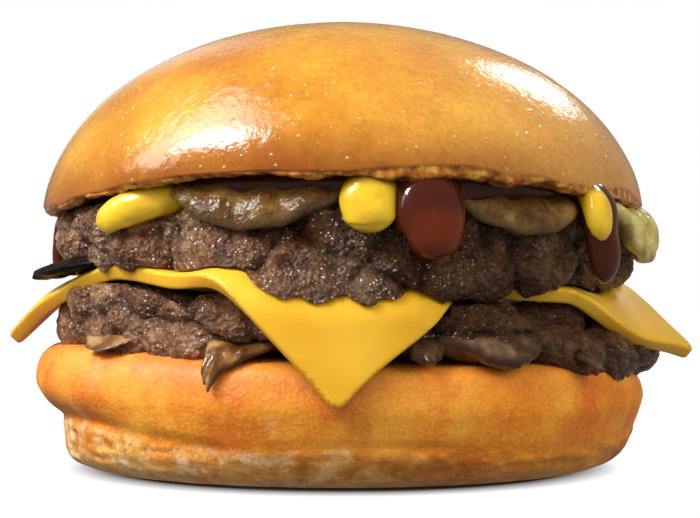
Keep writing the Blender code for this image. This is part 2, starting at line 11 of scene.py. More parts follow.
import bpy
import numpy as np
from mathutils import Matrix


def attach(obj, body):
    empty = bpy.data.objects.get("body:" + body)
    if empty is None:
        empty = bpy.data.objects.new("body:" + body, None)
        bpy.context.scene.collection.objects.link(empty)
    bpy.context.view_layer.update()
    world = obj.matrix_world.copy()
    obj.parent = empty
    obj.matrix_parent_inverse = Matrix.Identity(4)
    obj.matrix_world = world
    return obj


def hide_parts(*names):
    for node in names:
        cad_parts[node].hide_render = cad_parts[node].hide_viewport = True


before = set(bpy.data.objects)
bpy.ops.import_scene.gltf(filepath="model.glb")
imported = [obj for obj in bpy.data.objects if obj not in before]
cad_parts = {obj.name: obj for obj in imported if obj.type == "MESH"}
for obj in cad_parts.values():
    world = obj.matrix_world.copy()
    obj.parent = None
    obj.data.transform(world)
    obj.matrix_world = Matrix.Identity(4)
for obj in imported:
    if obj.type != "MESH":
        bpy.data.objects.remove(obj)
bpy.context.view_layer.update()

MM = 0.001

# Driving dimensions of the solids, in millimetres
BUN_RADIUS = 51.5
FOOT_RADIUS = 44.0
HEEL_TOP = 18.3
CROWN_MIDDLE = 40.9
CROWN_TOP = 75.1
CROWN_LIP = 42.0
CROWN_UNDER = 47.3
PATTY_RADIUS = 48.4
CHEESE_SIDE = 87.6
CHEESE_THICK = 2.4
CHEESE_HEIGHT = 30.1
PICKLE_THICK = 3.2
SAUCE_RADIUS = 44.0
SAUCE_FOOT = 43.1
LEAN_RIGHT = -0.036
LEAN_BACK = 0.030

# Rows and columns of the skins
HEEL_GRID = (150, 560)
CROWN_GRID = (170, 560)
PATTY_GRID = (158, 610)
PICKLE_GRID = (90, 260)
STRAND_GRID = (90, 72)
SAUCE_GRID = (120, 300)
ONION_GRID = (60, 160)
CHAR_GRID = (80, 64)


# Noise

def lattice(cell, seed):
    """A repeatable number from 0 to 1 for each whole-number cell of a lattice."""
    mixed = cell @ np.array([73856093, 19349663, 83492791]) + seed * 15485863
    mixed = mixed & 0xFFFFFFFF
    mixed = ((mixed ^ (mixed >> 13)) * 1274126177) & 0xFFFFFFFF
    mixed = ((mixed ^ (mixed >> 15)) * 1103515245) & 0xFFFFFFFF
    return ((mixed ^ (mixed >> 16)) & 0xFFFFFF) / 0xFFFFFF


def swell(points, size, seed):
    """Noise from -1 to 1 with bumps about size wide: lattice values blended by a smooth step."""
    scaled = points / size
    base = np.floor(scaled).astype(np.int64)
    part = scaled - base
    part = part * part * (3 - 2 * part)
    total = np.zeros(points.shape[:-1])
    for step in product((0, 1), repeat=3):
        corner = np.array(step)
        weight = np.prod(np.where(corner == 1, part, 1 - part), axis=-1)
        total += weight * lattice(base + corner, seed)
    return 2 * total - 1


def clumps(points, size, seed):
    """Distances to the nearest and second nearest of scattered centres, in units of size."""
    scaled = points / size
    base = np.floor(scaled).astype(np.int64)
    nearest = np.full(points.shape[:-1], 9.0)
    second = nearest.copy()
    for step in product((-1, 0, 1), repeat=3):
        cell = base + np.array(step)
        centre = cell + np.stack([lattice(cell, seed + k) for k in range(3)], axis=-1)
        distance = np.linalg.norm(scaled - centre, axis=-1)
        second = np.minimum(second, np.maximum(nearest, distance))
        nearest = np.minimum(nearest, distance)
    return nearest, second


def ramp(value, low, high):
    """0 below low, 1 above high, and a smooth step between them."""
    part = np.clip((value - low) / (high - low), 0, 1)
    return part * part * (3 - 2 * part)


def hump(value, middle, width, power=2):
    """1 at the middle, falling away on both sides: exp(-((value - middle) / width) ** power)."""
    return np.exp(-(((value - middle) / width) ** power))


def facing(round_, heading):
    """The cosine of the angle from a heading in degrees, or 0 on the far side."""
    return np.clip(np.cos(round_ - math.radians(heading)), 0, 1)


# Curves and grids

def evenly(curve, count, closeness=None):
    """The same curve at count points, which lie closer together where closeness is larger."""
    steps = np.linalg.norm(np.diff(curve, axis=0), axis=1)
    if closeness is not None:
        steps = steps * (closeness[1:] + closeness[:-1]) / 2
    along = np.concatenate([[0], np.cumsum(steps)])
    at = np.linspace(0, along[-1], count)
    return np.stack([np.interp(at, along, column) for column in curve.T], axis=1)


def smooth_line(points, count):
    """A Catmull-Rom curve through the points, read at count equal steps along it."""
    points = np.array(points, float)
    ends = np.concatenate([2 * points[:1] - points[1:2], points, 2 * points[-1:] - points[-2:-1]])
    parts, t = [], np.linspace(0, 1, 24, endpoint=False)[:, None]
    for a, b, c, d in zip(ends, ends[1:], ends[2:], ends[3:]):
        parts.append(
            b + 0.5 * t * (c - a + t * (2 * a - 5 * b + 4 * c - d + t * (3 * (b - c) + d - a)))
        )
    return evenly(np.concatenate([*parts, points[-1:]]), count)


def lens_curve(radius, half, fullness, count):
    """Half section of a flat round: its height is half * sqrt(1 - (r / radius) ** fullness) up and down."""
    turn = np.linspace(0, math.pi, 401)
    out = radius * np.sin(turn) ** (2 / fullness)
    out[[0, -1]] = 0
    curve = np.stack([out, half * np.cos(turn)], axis=1)
    return evenly(curve, count, 1 + 7 * (out / radius) ** 10)


def around(section, columns):
    """A half section of (radius, height) points turned about the upright axis: a row for each point."""
    turn = np.linspace(0, 2 * math.pi, columns, endpoint=False)
    out, height = section[:, :1], section[:, 1:]
    return np.stack([out * np.cos(turn), out * np.sin(turn), height + 0 * turn], axis=-1)


def along_path(route, rows, columns):
    """A round strand along a route of (x, y, z, radius) points. Its ends close as half balls do."""
    line = smooth_line(route, rows)
    middle, radius = line[:, :3], line[:, 3]
    ahead = np.gradient(middle, axis=0)
    ahead /= np.linalg.norm(ahead, axis=1, keepdims=True)
    across = np.cross(middle[-1] - middle[0], (0, 0, 1))
    across = across / np.linalg.norm(across)
    up = np.cross(across, ahead)
    up /= np.linalg.norm(up, axis=1, keepdims=True)
    side = np.cross(ahead, up)
    part = np.linspace(0, 1, rows)
    radius = radius * np.sqrt(np.clip(1 - (2 * part - 1) ** 12, 0, 1))
    turn = np.linspace(0, 2 * math.pi, columns, endpoint=False)[:, None]
    ring = side[:, None] * np.cos(turn) - up[:, None] * np.sin(turn)
    return middle[:, None] + radius[:, None, None] * ring


def outward(grid):
    """Unit normals of a grid whose columns run round: the cross product of its steps down and round."""
    normal = np.cross(np.gradient(grid, axis=0), np.roll(grid, -1, axis=1) - np.roll(grid, 1, axis=1))
    normal[[0, -1]] = normal[[1, -2]].mean(axis=1, keepdims=True)
    return normal / np.maximum(np.linalg.norm(normal, axis=-1, keepdims=True), 1e-9)


def polar(places):
    """Each point's distance from the upright axis, and its heading in radians."""
    return np.hypot(places[..., 0], places[..., 1]), np.arctan2(places[..., 1], places[..., 0])


def widened(places, share):
    """The points with x and y multiplied by the share and z as it was."""
    return places * np.stack([share, share, np.ones_like(share)], axis=-1)


def lean(places, share=1.0):
    """Raises the left and the back, as the stacked fillings lean."""
    rise = LEAN_RIGHT * places[..., 0] + LEAN_BACK * places[..., 1]
    return places + (rise * share)[..., None] * (0, 0, 1)


def bend_down(places, start, radius, most):
    """Bends what lies beyond start on +X downwards round a radius, by at most an angle in degrees."""
    past = np.maximum(places[..., 0] - start, 0)
    turn = np.minimum(past / radius, math.radians(most))
    rest = past - turn * radius
    over = places[..., 2] + radius
    bent = places.copy()
    bent[..., 0] = np.minimum(places[..., 0], start) + over * np.sin(turn) + rest * np.cos(turn)
    bent[..., 2] = over * np.cos(turn) - radius - rest * np.sin(turn)
    return bent


def placed(places, centre, heading, pitch=0.0):
    """Tips +X down by pitch, turns it to the heading, both in degrees, and moves the origin to the centre."""
    tip, turn = math.radians(pitch), math.radians(heading)
    x = places[..., 0] * math.cos(tip) + places[..., 2] * math.sin(tip)
    z = places[..., 2] * math.cos(tip) - places[..., 0] * math.sin(tip)
    y = places[..., 1]
    return np.stack([
        centre[0] + x * math.cos(turn) - y * math.sin(turn),
        centre[1] + x * math.sin(turn) + y * math.cos(turn),
        centre[2] + z,
    ], axis=-1)


# Pieces

def skin(grid):
    """Corners of a closed skin on a grid: quads between its rows, and triangles to a point at each end."""
    rows, columns = grid.shape[:2]
    index = 1 + np.arange((rows - 2) * columns).reshape(rows - 2, columns)
    beside = np.roll(index, -1, axis=1)
    quads = np.stack([index[:-1], index[1:], beside[1:], beside[:-1]], axis=-1).reshape(-1, 4)
    first, last = np.zeros(columns, int), np.full(columns, 1 + index.size)
    caps = np.concatenate([
        np.stack([first, index[0], beside[0]], axis=-1),
        np.stack([index[-1], last, beside[-1]], axis=-1),
    ])
    corners = np.concatenate([quads.ravel(), caps.ravel()])
    return corners, np.array([4] * len(quads) + [3] * len(caps))


def unrolled(values):
    """A grid's values in the order of its skin's points: its first and last rows become one value each."""
    inner = values[1:-1].reshape(-1, *values.shape[2:])
    return np.concatenate([values[:1].mean(axis=1), inner, values[-1:].mean(axis=1)])


def piece(name, material, slot, node, grid, marks=None, more=()):
    """One object that stands for a node, from closed skins on a grid and any more grids. The marks of a piece
    of one grid are stored as point attributes."""
    points, corners, sizes = [], [], []
    count = 0
    for part in (grid, *more):
        own, own_sizes = skin(part)
        points.append(unrolled(part))
        corners.append(own + count)
        sizes.append(own_sizes)
        count += len(points[-1])
    points, corners, sizes = (np.concatenate(part) for part in (points, corners, sizes))
    mesh = bpy.data.meshes.new(name)
    mesh.vertices.add(len(points))
    mesh.vertices.foreach_set("co", (points * MM).astype(np.float32).ravel())
    mesh.loops.add(len(corners))
    mesh.loops.foreach_set("vertex_index", corners.astype(np.int32))
    mesh.polygons.add(len(sizes))
    mesh.polygons.foreach_set("loop_start", (np.cumsum(sizes) - sizes).astype(np.int32))
    mesh.update(calc_edges=True)
    for title, values in (marks or {}).items():
        layer = mesh.attributes.new(title, "FLOAT", "POINT")
        layer.data.foreach_set("value", unrolled(values).astype(np.float32))
    mesh.shade_smooth()
    mesh.materials.append(material)
    obj = bpy.data.objects.new(name, mesh)
    bpy.context.scene.collection.objects.link(obj)
    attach(obj, "root")
    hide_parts(node)
    return obj


def fused(obj, voxel, smoothings):
    """Melts an object's overlapping skins into one, on a lattice of voxel millimetres, and smooths it."""
    melt = obj.modifiers.new("melt", "REMESH")
    melt.mode = "VOXEL"
    melt.voxel_size = voxel * MM
    soften = obj.modifiers.new("soften", "SMOOTH")
    soften.factor = 0.5
    soften.iterations = smoothings
    graph = bpy.context.evaluated_depsgraph_get()
    mesh = bpy.data.meshes.new_from_object(obj.evaluated_get(graph))
    obj.modifiers.clear()
    obj.data = mesh
    mesh.shade_smooth()
    return obj


# Bun

def heel_grid():
    """The turned section of a soft round, pinched in at its left foot, with torn crumb below a fold."""
    curve = [(0, HEEL_TOP), (30, HEEL_TOP), (45.0, HEEL_TOP - 0.1), (49.6, HEEL_TOP - 1.4)]
    curve += [(BUN_RADIUS - 0.3, 13.2), (BUN_RADIUS - 0.8, 9.2), (49.3, 4.6), (47.0, 1.4)]
    section = smooth_line([*curve, (FOOT_RADIUS, 0)], 300)
    section[:, 0] = np.maximum(section[:, 0], 0)
    section = np.concatenate([section, [(FOOT_RADIUS / 2, 0), (0, 0)]])
    section = evenly(section, HEEL_GRID[0], 1 + 9 * ramp(section[:, 0], 36, 44))
    section[[0, -1], 0] = 0
    places = around(section, HEEL_GRID[1])
    normals = outward(places)
    out, round_ = polar(places)
    height = places[..., 2]
    side = ramp(out, 34, 46) * ramp(height, 0.0, 2.5)
    left = facing(round_, 180) ** 3
    fold = 6.8 + 1.4 * np.sin(2 * round_ + 0.6) + 0.7 * np.sin(5 * round_ + 2.0)
    below = ramp(fold - height, -0.5, 2.0)
    push = 0.6 * swell(places, 21, 11) + 1.4 * left * ramp(height, 8.0, 14.0)
    push -= 2.4 * left * hump(height, 6.0, 4.4)
    depth = 0.12 + 0.9 * left + 0.3 * ramp(swell(places, 11, 10), 0.0, 0.5)
    push -= depth * hump(height, fold, 1.1)
    push += 0.6 * swell(places, 6.5, 12) * below
    # Fine wrinkles run round the foot, and the crumb there is torn
    stretched = places * (0.3, 0.3, 1.0)
    push += (0.32 * np.abs(swell(stretched, 1.9, 14)) + 0.16 * swell(stretched, 1.0, 9)) * below
    push += (0.16 * swell(places, 1.6, 15) + 0.12 * swell(places, 0.8, 16)) * (0.15 + 0.85 * below)
    push += 0.10 * swell(places, 4.0, 17)
    moved = places + normals * (1, 1, 0) * (push * side)[..., None]
    # Its top edge stands higher at the front and at the left
    puffed = (1.4 + 0.015 * places[..., 0]) * ramp(-places[..., 1], 8, 34) * ramp(out, 26, 42)
    puffed += 0.3 * swell(places, 17, 13) + 1.1 * left * ramp(out, 34, 44)
    moved[..., 2] += puffed * ramp(height, 12, 17)
    moved[..., 2] += 0.15 * swell(places, 2.4, 18) * ramp(height, 14, 17) * ramp(out, 30, 40)
    moved = lean(moved, np.clip(height / HEEL_TOP, 0, 1) ** 2)
    torn = ramp(below + 0.8 * swell(places, 5, 19), 0.3, 1.2)
    return moved, {"torn": torn, "shoulder": ramp(height, 11.0, 17.0)}


def crown_grid():
    """Half an ellipse turned round and gently dented. Its cut rim bows up over the fillings and is torn."""
    turn = np.linspace(math.pi / 2, 0.06, 400)
    dome = np.column_stack([
        BUN_RADIUS * np.cos(turn),
        CROWN_MIDDLE + (CROWN_TOP - CROWN_MIDDLE) * np.sin(turn),
    ])
    dome[0, 0] = 0
    lip = [dome[-1], (BUN_RADIUS - 0.4, CROWN_LIP + 0.3), (49.6, CROWN_LIP), (47.2, CROWN_LIP + 1.0)]
    under = smooth_line([*lip, (44.8, CROWN_LIP + 2.5), (38.0, CROWN_UNDER - 0.5), (30.0, CROWN_UNDER)], 160)
    section = np.concatenate([dome, under[1:], [(0, CROWN_UNDER)]])
    rim_near = hump(section[:, 1], 42.5, 4.0) * ramp(section[:, 0], 38, 44)
    section = evenly(section, CROWN_GRID[0], 1 + 5 * rim_near)
    section[[0, -1], 0] = 0
    places = around(section, CROWN_GRID[1])
    normals = outward(places)
    out, round_ = polar(places)
    height = places[..., 2]
    heading = np.degrees(round_)
    low = 1 - ramp(height, CROWN_LIP + 2, CROWN_LIP + 16)
    bow = np.where(round_ < 0, 2.6, 1.6) * np.sin(round_) ** 2
    bow -= 0.9 * hump(heading, -150, 16) + 0.5 * hump(heading, -86, 12)
    dent = 0.35 * swell(places, 24, 21) + 0.5 * low * swell(places, 15, 22)
    dent += 0.05 * swell(places, 5.5, 24) + 0.02 * swell(places, 2.4, 25)
    moved = places + normals * dent[..., None]
    rim = (1 - ramp(height, CROWN_LIP, CROWN_LIP + 2.5)) * ramp(out, 40, 48)
    moved[..., 2] += rim * 0.45 * swell(places, 6, 23)
    moved[..., 2] += low * bow
    # The edge is torn where the bun was pulled apart: ragged below the skin, with small hanging flakes
    window = ramp(heading, -96, -80) * (1 - ramp(heading, -30, -12))
    ragged_foot = 1.1 + 1.5 * swell(places * (1, 1, 0.2), 6.5, 33) + 0.2 * swell(places, 2.0, 34)
    skin_foot = 1.0 + window * ragged_foot
    tear = 1 - ramp(height - CROWN_LIP - skin_foot, -0.2, 0.2)
    tear = tear * ramp(out, 44, 47)
    moved -= normals * (tear * (0.25 + 0.15 * swell(places, 1.2, 35)))[..., None]
    facing_down = ramp(-normals[..., 2], -0.2, 0.6) * ramp(out, 36, 46)
    ragged = 0.30 * swell(places, 3.0, 26) + 0.22 * swell(places, 1.5, 27) + 0.14 * swell(places, 0.8, 28)
    moved += normals * (ragged * facing_down)[..., None]
    flakes = ramp(swell(places * (1, 1, 0.3), 3.4, 29), 0.5, 0.95)
    moved[..., 2] -= 0.6 * flakes * facing_down
    # Darker towards the rim: partly the crust's own browning, partly painted shade where the dome turns down
    # from the light above. It is weaker on the right, where more light falls, which is painted light as well
    browned = ramp(CROWN_LIP + 11 + 3.0 * swell(places, 9, 30) - height, 0, 13)
    browned = browned * (1 - 0.65 * ramp(places[..., 0], 0, 42))
    return moved, {"torn": np.maximum(facing_down, tear), "browned": browned}


# Cheese

CHEESE_CENTRE = (1.0, -6.2)
CHEESE_TURN = 42.9
CORNER_ROUND = 2.5
# The heading of each corner, and where its bend starts, the bend's radius and its angle in degrees
DRAPE = [(-90, 40.3, 5.0, 82), (180, 39.5, 18.0, 43), (0, 40.0, 18.0, 44), (90, 49.0, 6.0, 58)]


def drape(x, y):
    """The slice's middle surface: each point runs out from its centre and bends down past the beef."""
    out, round_ = np.hypot(x, y), np.arctan2(y, x)
    weights = [facing(round_, corner[0]) ** 2 for corner in DRAPE]
    start, radius, most = (sum(w * corner[k] for w, corner in zip(weights, DRAPE)) for k in (1, 2, 3))
    heading = np.degrees(round_)
    start = start + 2.4 * hump(heading, -118, 16)
    past = np.maximum(out - start, 0)
    turn = np.minimum(past / radius, np.radians(most))
    rest = past - turn * radius
    # The front right edge is tucked in under the upper patty, and the front left edge rises in two waves
    tuck = hump(heading, -62, 14.5) * ramp(out, 24, 46)
    lift = 2.0 * hump(heading, -144, 17) + 1.5 * hump(heading, -113, 8)
    reach = np.minimum(out, start) + radius * np.sin(turn) + rest * np.cos(turn) - 9.0 * tuck
    drop = radius * (1 - np.cos(turn)) + rest * np.sin(turn) - 0.8 * tuck
    spot = np.stack([
        CHEESE_CENTRE[0] + reach * np.cos(round_),
        CHEESE_CENTRE[1] + reach * np.sin(round_),
        CHEESE_HEIGHT - drop,
    ], axis=-1)
    wave = 0.7 * swell(spot * (1, 1, 0), 17, 51) * ramp(out, 22, 40) + lift * ramp(out, 28, 42)
    twist = np.where(spot[..., 0] > 0, 0.36, 0.15) * ramp(np.abs(spot[..., 0]), 34, 52)
    spot[..., 2] += wave + twist * (spot[..., 1] - CHEESE_CENTRE[1])
    return lean(spot, 1 - ramp(drop, 2, 16))


def cheese_grid():
    """Square rings from the top's middle over the cut edge to the underside's middle, draped and then set off
    by half the thickness."""
    half, depth, fillet = CHEESE_SIDE / 2, CHEESE_THICK / 2, 0.55
    turn = np.linspace(0, math.pi / 2, 6)
    edge = np.column_stack([half - fillet + fillet * np.sin(turn), depth - fillet + fillet * np.cos(turn)])
    top = np.column_stack([np.linspace(0, half - fillet, 76)[:-1], np.full(75, depth)])
    profile = np.concatenate([top, edge, edge[::-1] * (1, -1), top[::-1] * (1, -1)])
    step = np.linspace(-1, 1, 110, endpoint=False)
    one = np.ones_like(step)
    square = np.concatenate([
        np.column_stack([one, step]), np.column_stack([-step, one]),
        np.column_stack([-one, -step]), np.column_stack([step, -one]),
    ])
    ring = profile[:, :1]
    corner = CORNER_ROUND * ring / half
    flat = square * ring[..., None]
    core = np.clip(flat, (corner - ring)[..., None], (ring - corner)[..., None])
    past = flat - core
    length = np.maximum(np.linalg.norm(past, axis=-1, keepdims=True), 1e-9)
    flat = core + past / length * np.max(np.abs(past), axis=-1, keepdims=True)
    angle = math.radians(CHEESE_TURN)
    x = flat[..., 0] * math.cos(angle) - flat[..., 1] * math.sin(angle)
    y = flat[..., 0] * math.sin(angle) + flat[..., 1] * math.cos(angle)
    middle = drape(x, y)
    near = 0.05
    east = drape(x + near, y) - drape(x - near, y)
    north = drape(x, y + near) - drape(x, y - near)
    up = np.cross(east, north)
    up /= np.linalg.norm(up, axis=-1, keepdims=True)
    softness = 0.06 * swell(middle, 5, 52) + 0.025 * swell(middle, 1.7, 53)
    height = profile[:, 1:] * (1 + softness)
    places = middle + up * height[..., None]
    upper_edge = hump(half - ring, 0.25, 0.35) * (profile[:, 1:] > 0.1) + 0 * x
    return places, {"upper_edge": upper_edge}


AZIMUTHS = 720
REACHES = np.linspace(0, 66, 265)
HEIGHTS = np.linspace(4, 36, 129)


def cheese_limits():
    """Tables of the slice by azimuth round its centre: its height by reach, and its reach by height."""
    turn = np.linspace(-math.pi, math.pi, AZIMUTHS, endpoint=False)[:, None]
    angle = turn - math.radians(CHEESE_TURN)
    end = (CHEESE_SIDE / 2 - 0.8) / np.maximum(np.abs(np.cos(angle)), np.abs(np.sin(angle)))
    out = end * np.linspace(0.02, 1, 160)
    middle = drape(out * np.cos(turn), out * np.sin(turn))
    reach = np.hypot(middle[..., 0] - CHEESE_CENTRE[0], middle[..., 1] - CHEESE_CENTRE[1])
    height = middle[..., 2]
    by_reach = np.stack([
        np.interp(REACHES, r, z, right=-99.0) for r, z in zip(np.maximum.accumulate(reach, axis=1), height)
    ])
    falling = np.minimum.accumulate(height, axis=1)
    by_height = np.stack([
        np.interp(HEIGHTS, z[::-1], r[::-1], left=99.0) for r, z in zip(reach, falling - 1e-6 * out)
    ])
    return by_reach, by_height


# A looked-up height below this is blended with the empty table past the slice's edge
LOWEST_LID = 26.0


def looked_up(table, azimuth, share):
    """Values of a table of azimuths by steps, at azimuths in turns and shares in steps, which are blended."""
    row = np.floor(azimuth * AZIMUTHS).astype(int) % AZIMUTHS
    share = np.clip(share, 0, table.shape[1] - 1.001)
    step = np.floor(share).astype(int)
    part = share - step
    return table[row, step] * (1 - part) + table[row, step + 1] * part


def from_cheese(places):
    """Each point's distance from the slice's centre, and its azimuth round it in turns."""
    x, y = places[..., 0] - CHEESE_CENTRE[0], places[..., 1] - CHEESE_CENTRE[1]
    return np.hypot(x, y), np.arctan2(y, x) / (2 * math.pi) + 0.5


def under_cheese(places, limits, room):
    """Presses points in below the slice: first down under it, then in behind its hanging sides."""
    by_reach, by_height = limits
    reach, azimuth = from_cheese(places)
    lid = looked_up(by_reach, azimuth, np.minimum(reach, 38) / REACHES[1])
    moved = places.copy()
    moved[..., 2] = np.where(lid > LOWEST_LID, np.minimum(places[..., 2], lid - room), places[..., 2])
    side = looked_up(by_height, azimuth, (moved[..., 2] - HEIGHTS[0]) / (HEIGHTS[1] - HEIGHTS[0]))
    centre = np.array([*CHEESE_CENTRE, 0])
    return centre + widened(moved - centre, np.minimum(reach, side - room) / np.maximum(reach, 1))


def over_cheese(places, limits, room):
    """Lifts points so that they rest on the slice."""
    reach, azimuth = from_cheese(places)
    floor = looked_up(limits[0], azimuth, (reach - room) / REACHES[1]) + room
    lifted = places.copy()
    lifted[..., 2] = np.maximum(places[..., 2], floor)
    return lifted


# Beef

# Half sections of the patties, as (radius, height) from the top middle to the foot. The rims hang lower
PATTIES = {
    "patty_lower": [
        (0, 28.4), (26, 28.4), (40, 28.5), (45.6, 28.0), (48.0, 26.0), (48.6, 23.0),
        (48.2, 20.2), (46.4, 18.4), (42.5, 18.2), (36, 19.2), (20, 19.2), (0, 19.2),
    ],
    "patty_upper": [
        (0, 41.8), (26, 41.8), (40, 42.0), (46.0, 41.8), (48.2, 40.0), (48.6, 36.8),
        (48.2, 33.0), (46.6, 30.4), (43.0, 29.8), (36, 31.8), (20, 31.8), (0, 31.8),
    ],
}
# Where the cheese wing on the right presses the lower patty in
PRESSED_HEADING = -11.459156
PATTY_CENTRE = {"patty_lower": (2.0, 0.3, 0), "patty_upper": (-0.2, 0, 0)}


def beef_relief(places, out):
    """Rounded lobes of minced beef with creases between them, pits, and lumps of 4.4 to 1.25 mm: absolute
    values of noise, which are round on top and sharp in their furrows. It also gives a mask of the creases
    and pits, for painted shade."""
    warped = places + 1.5 * np.stack([swell(places, 7, 31 + k) for k in range(3)], axis=-1)
    big, next_big = clumps(warped * (1, 1, 0.7), 12.5, 41)
    small, _ = clumps(warped, 6.0, 47)
    bulge = 3.6 * (0.36 - big**2) + 1.5 * (0.36 - small**2)
    crease = 1.4 * np.exp(-((next_big - big) / 0.12))
    side = 0.1 + 0.9 * ramp(out, PATTY_RADIUS * 0.78, PATTY_RADIUS * 0.95)
    curled = places + 0.7 * np.stack([swell(places, 2.5, 54 + k) for k in range(3)], axis=-1)
    lumps = 0.9 * np.abs(swell(curled, 4.4, 61)) + 0.40 * np.abs(swell(curled, 2.3, 67))
    lumps += 0.34 * np.abs(swell(curled, 1.25, 73)) + 0.20 * swell(places, 0.62, 74) - 0.55
    pits = ramp(swell(places, 4.2, 71) - 0.6, 0, 0.3)
    relief = (bulge - crease + lumps - 1.1 * pits) * side
    # Painted shade: a mask of the creases, the low lumps and the pits, which the beef's colour darkens almost
    # to black
    hollow = ramp(crease, 0.3, 1.3) * 0.6 + ramp(-lumps, 0.1, 0.6) * 0.6 + 0.7 * pits
    return relief, np.clip(hollow, 0, 1)


def outline_of(name, round_):
    """How much a patty's outline stands out from its round, in millimetres."""
    hand = 0.8 * np.sin(3 * round_ + 1.3) + 0.5 * np.sin(7 * round_)
    if name == "patty_lower":
        return hand + 1.6 + 0.9 * np.cos(2 * round_) + 0.8 * facing(round_, -90)
    return hand + 0.3 * np.cos(2 * round_)


def patty_grid(name, limits):
    """A turned half section, uneven in outline, with relief along its normals, pressed against the cheese."""
    outline = smooth_line(PATTIES[name], 600)
    section = evenly(outline, PATTY_GRID[0], 1 + 11 * ramp(outline[:, 0], 38, 45))
    section[[0, -1], 0] = 0
    places = around(section, PATTY_GRID[1])
    normals = outward(places)
    out, round_ = polar(places)
    heading, height = np.degrees(round_), places[..., 2]
    wide = 1 + outline_of(name, round_) / PATTY_RADIUS
    if name == "patty_lower":
        right = facing(round_, PRESSED_HEADING) ** 2
        wide = wide - 0.12 * right * ramp(height, 20, 28)
        # Its foot lies over the onions at the front, and its top rises to the cheese at the front left
        rise = 2.9 * hump(heading, -86, 34, 4) * (1 - ramp(height, 19, 27))
        rise = rise + 2.2 * hump(heading, -140, 22) * ramp(height, 22, 28)
    else:
        # One lobe at the front sags over the cheese, and the foot lifts off it at the front left
        sag = hump(heading, -91, 19, 4) * (1 - ramp(height, 31, 38))
        wide = wide + 0.088 * sag
        rise = 2.2 * hump(heading, -140, 15) * (1 - ramp(height, 31, 38)) - 3.4 * sag
    moved = widened(places, wide)
    moved[..., 2] += rise * ramp(out, 34, 44)
    relief, hollow = beef_relief(moved, out)
    level = 0.7 * ramp(height, 36.4, 41.8)
    room = CHEESE_THICK / 2 + 0.1
    if name == "patty_lower":
        # Pressed twice, so that the beef keeps its relief where the cheese lies against it
        centre = np.array(PATTY_CENTRE[name])
        smooth = under_cheese(lean(moved, 1 - level) + centre, limits, room + 0.9)
        moved = under_cheese(smooth + normals * relief[..., None], limits, room)
    else:
        moved = moved + normals * relief[..., None]
        moved = over_cheese(lean(moved, 1 - level) + np.array(PATTY_CENTRE[name]), limits, room)
    return moved, {"hollow": hollow}


# Pickles

# Name, radius, centre, heading, and the start, radius and angle of its bend
PICKLES = [
    ("pickle_front", 16.0, (-10.4, -35.2, 43.6), -104, 6.0, 7.0, 62),
    ("pickle_right", 15.5, (21.6, -29.4, 43.4), -60, 6.0, 7.0, 62),
    ("pickle_side", 15.5, (41.2, -10.6, 43.2), -22, 4.2, 4.5, 76),
]
CRINKLE_PITCH = 6.6
CRINKLE_DEPTH = 0.36


def pickle_grid(radius, centre, heading, start, bend, most):
    """A round slice with sine ridges that run outwards, bent down over the beef."""
    half = PICKLE_THICK / 2
    places = around(lens_curve(radius, half, 12, PICKLE_GRID[0]), PICKLE_GRID[1])
    out, _ = polar(places)
    flesh = places * (1, 1, 0)
    places[..., 2] += CRINKLE_DEPTH * np.sin(2 * math.pi * places[..., 1] / CRINKLE_PITCH)
    places[..., 2] += 0.10 * swell(flesh, 2.2, 81) + 0.05 * swell(flesh, 1.0, 82)
    skin_share = ramp(out, radius - 1.3, radius - 0.2)
    places = bend_down(places, start, bend, most)
    # Brown for the slices at the front, partly a sauce stain and partly painted shade under the crown; the
    # slice at the side is drawn pale, which is painted light
    soaked = np.full(out.shape, float(centre[1] < -20))
    return lean(placed(places, centre, heading), 0.5), {"rim": skin_share, "soaked": soaked}


# Sauces

# Routes run from under the crown down over the beef, each point followed by the strand's radius
DRIPS = {
    "front_drip": [
        (11.0, -38.0, 43.4, 2.6), (11.6, -44.0, 42.6, 4.8), (12.6, -48.4, 39.8, 5.6),
        (13.2, -49.6, 36.6, 4.9), (12.8, -49.2, 34.6, 3.4), (12.6, -48.6, 33.4, 1.2),
    ],
    "right_drip": [
        (33.0, -24.0, 43.6, 2.4), (37.8, -29.4, 43.2, 3.4), (40.6, -32.4, 40.8, 3.9),
        (41.6, -33.2, 37.0, 3.6), (42.0, -33.0, 33.4, 3.2), (41.6, -32.2, 31.0, 2.4),
        (41.2, -31.6, 29.6, 0.9),
    ],
    "left_drip": [
        (-38.0, -2.0, 43.8, 1.4), (-45.4, -2.0, 43.4, 1.8), (-49.2, -1.6, 40.6, 2.1),
        (-50.2, -1.4, 37.0, 2.0), (-50.2, -1.2, 33.4, 1.8), (-49.8, -1.0, 31.0, 0.7),
    ],
}
MUSTARDS = {
    "mustard_left": [
        (-19.0, -34.0, 43.8, 1.8), (-24.5, -37.4, 42.9, 2.2), (-30.0, -38.8, 41.5, 2.4),
        (-34.5, -38.2, 40.3, 2.4), (-37.2, -37.2, 39.4, 2.1), (-38.6, -36.6, 38.8, 0.9),
    ],
    "mustard_front": [
        (4.6, -40.0, 43.6, 2.8), (4.2, -45.4, 43.0, 4.0), (4.1, -48.8, 41.6, 4.2),
        (4.2, -50.2, 39.8, 4.1), (4.3, -50.2, 38.4, 3.7), (4.4, -49.8, 37.0, 1.4),
    ],
    "mustard_right": [
        (35.8, -27.6, 43.6, 1.6), (38.8, -32.6, 43.0, 2.4), (40.6, -36.0, 41.0, 2.8),
        (41.4, -37.2, 38.8, 2.6), (41.4, -37.4, 37.0, 1.9), (41.2, -37.2, 36.0, 0.7),
    ],
}
# Past this radius a strand is pressed flat, to this share of its depth
STRAND_FLAT_FROM = 48.0
STRAND_DEPTH = 0.62


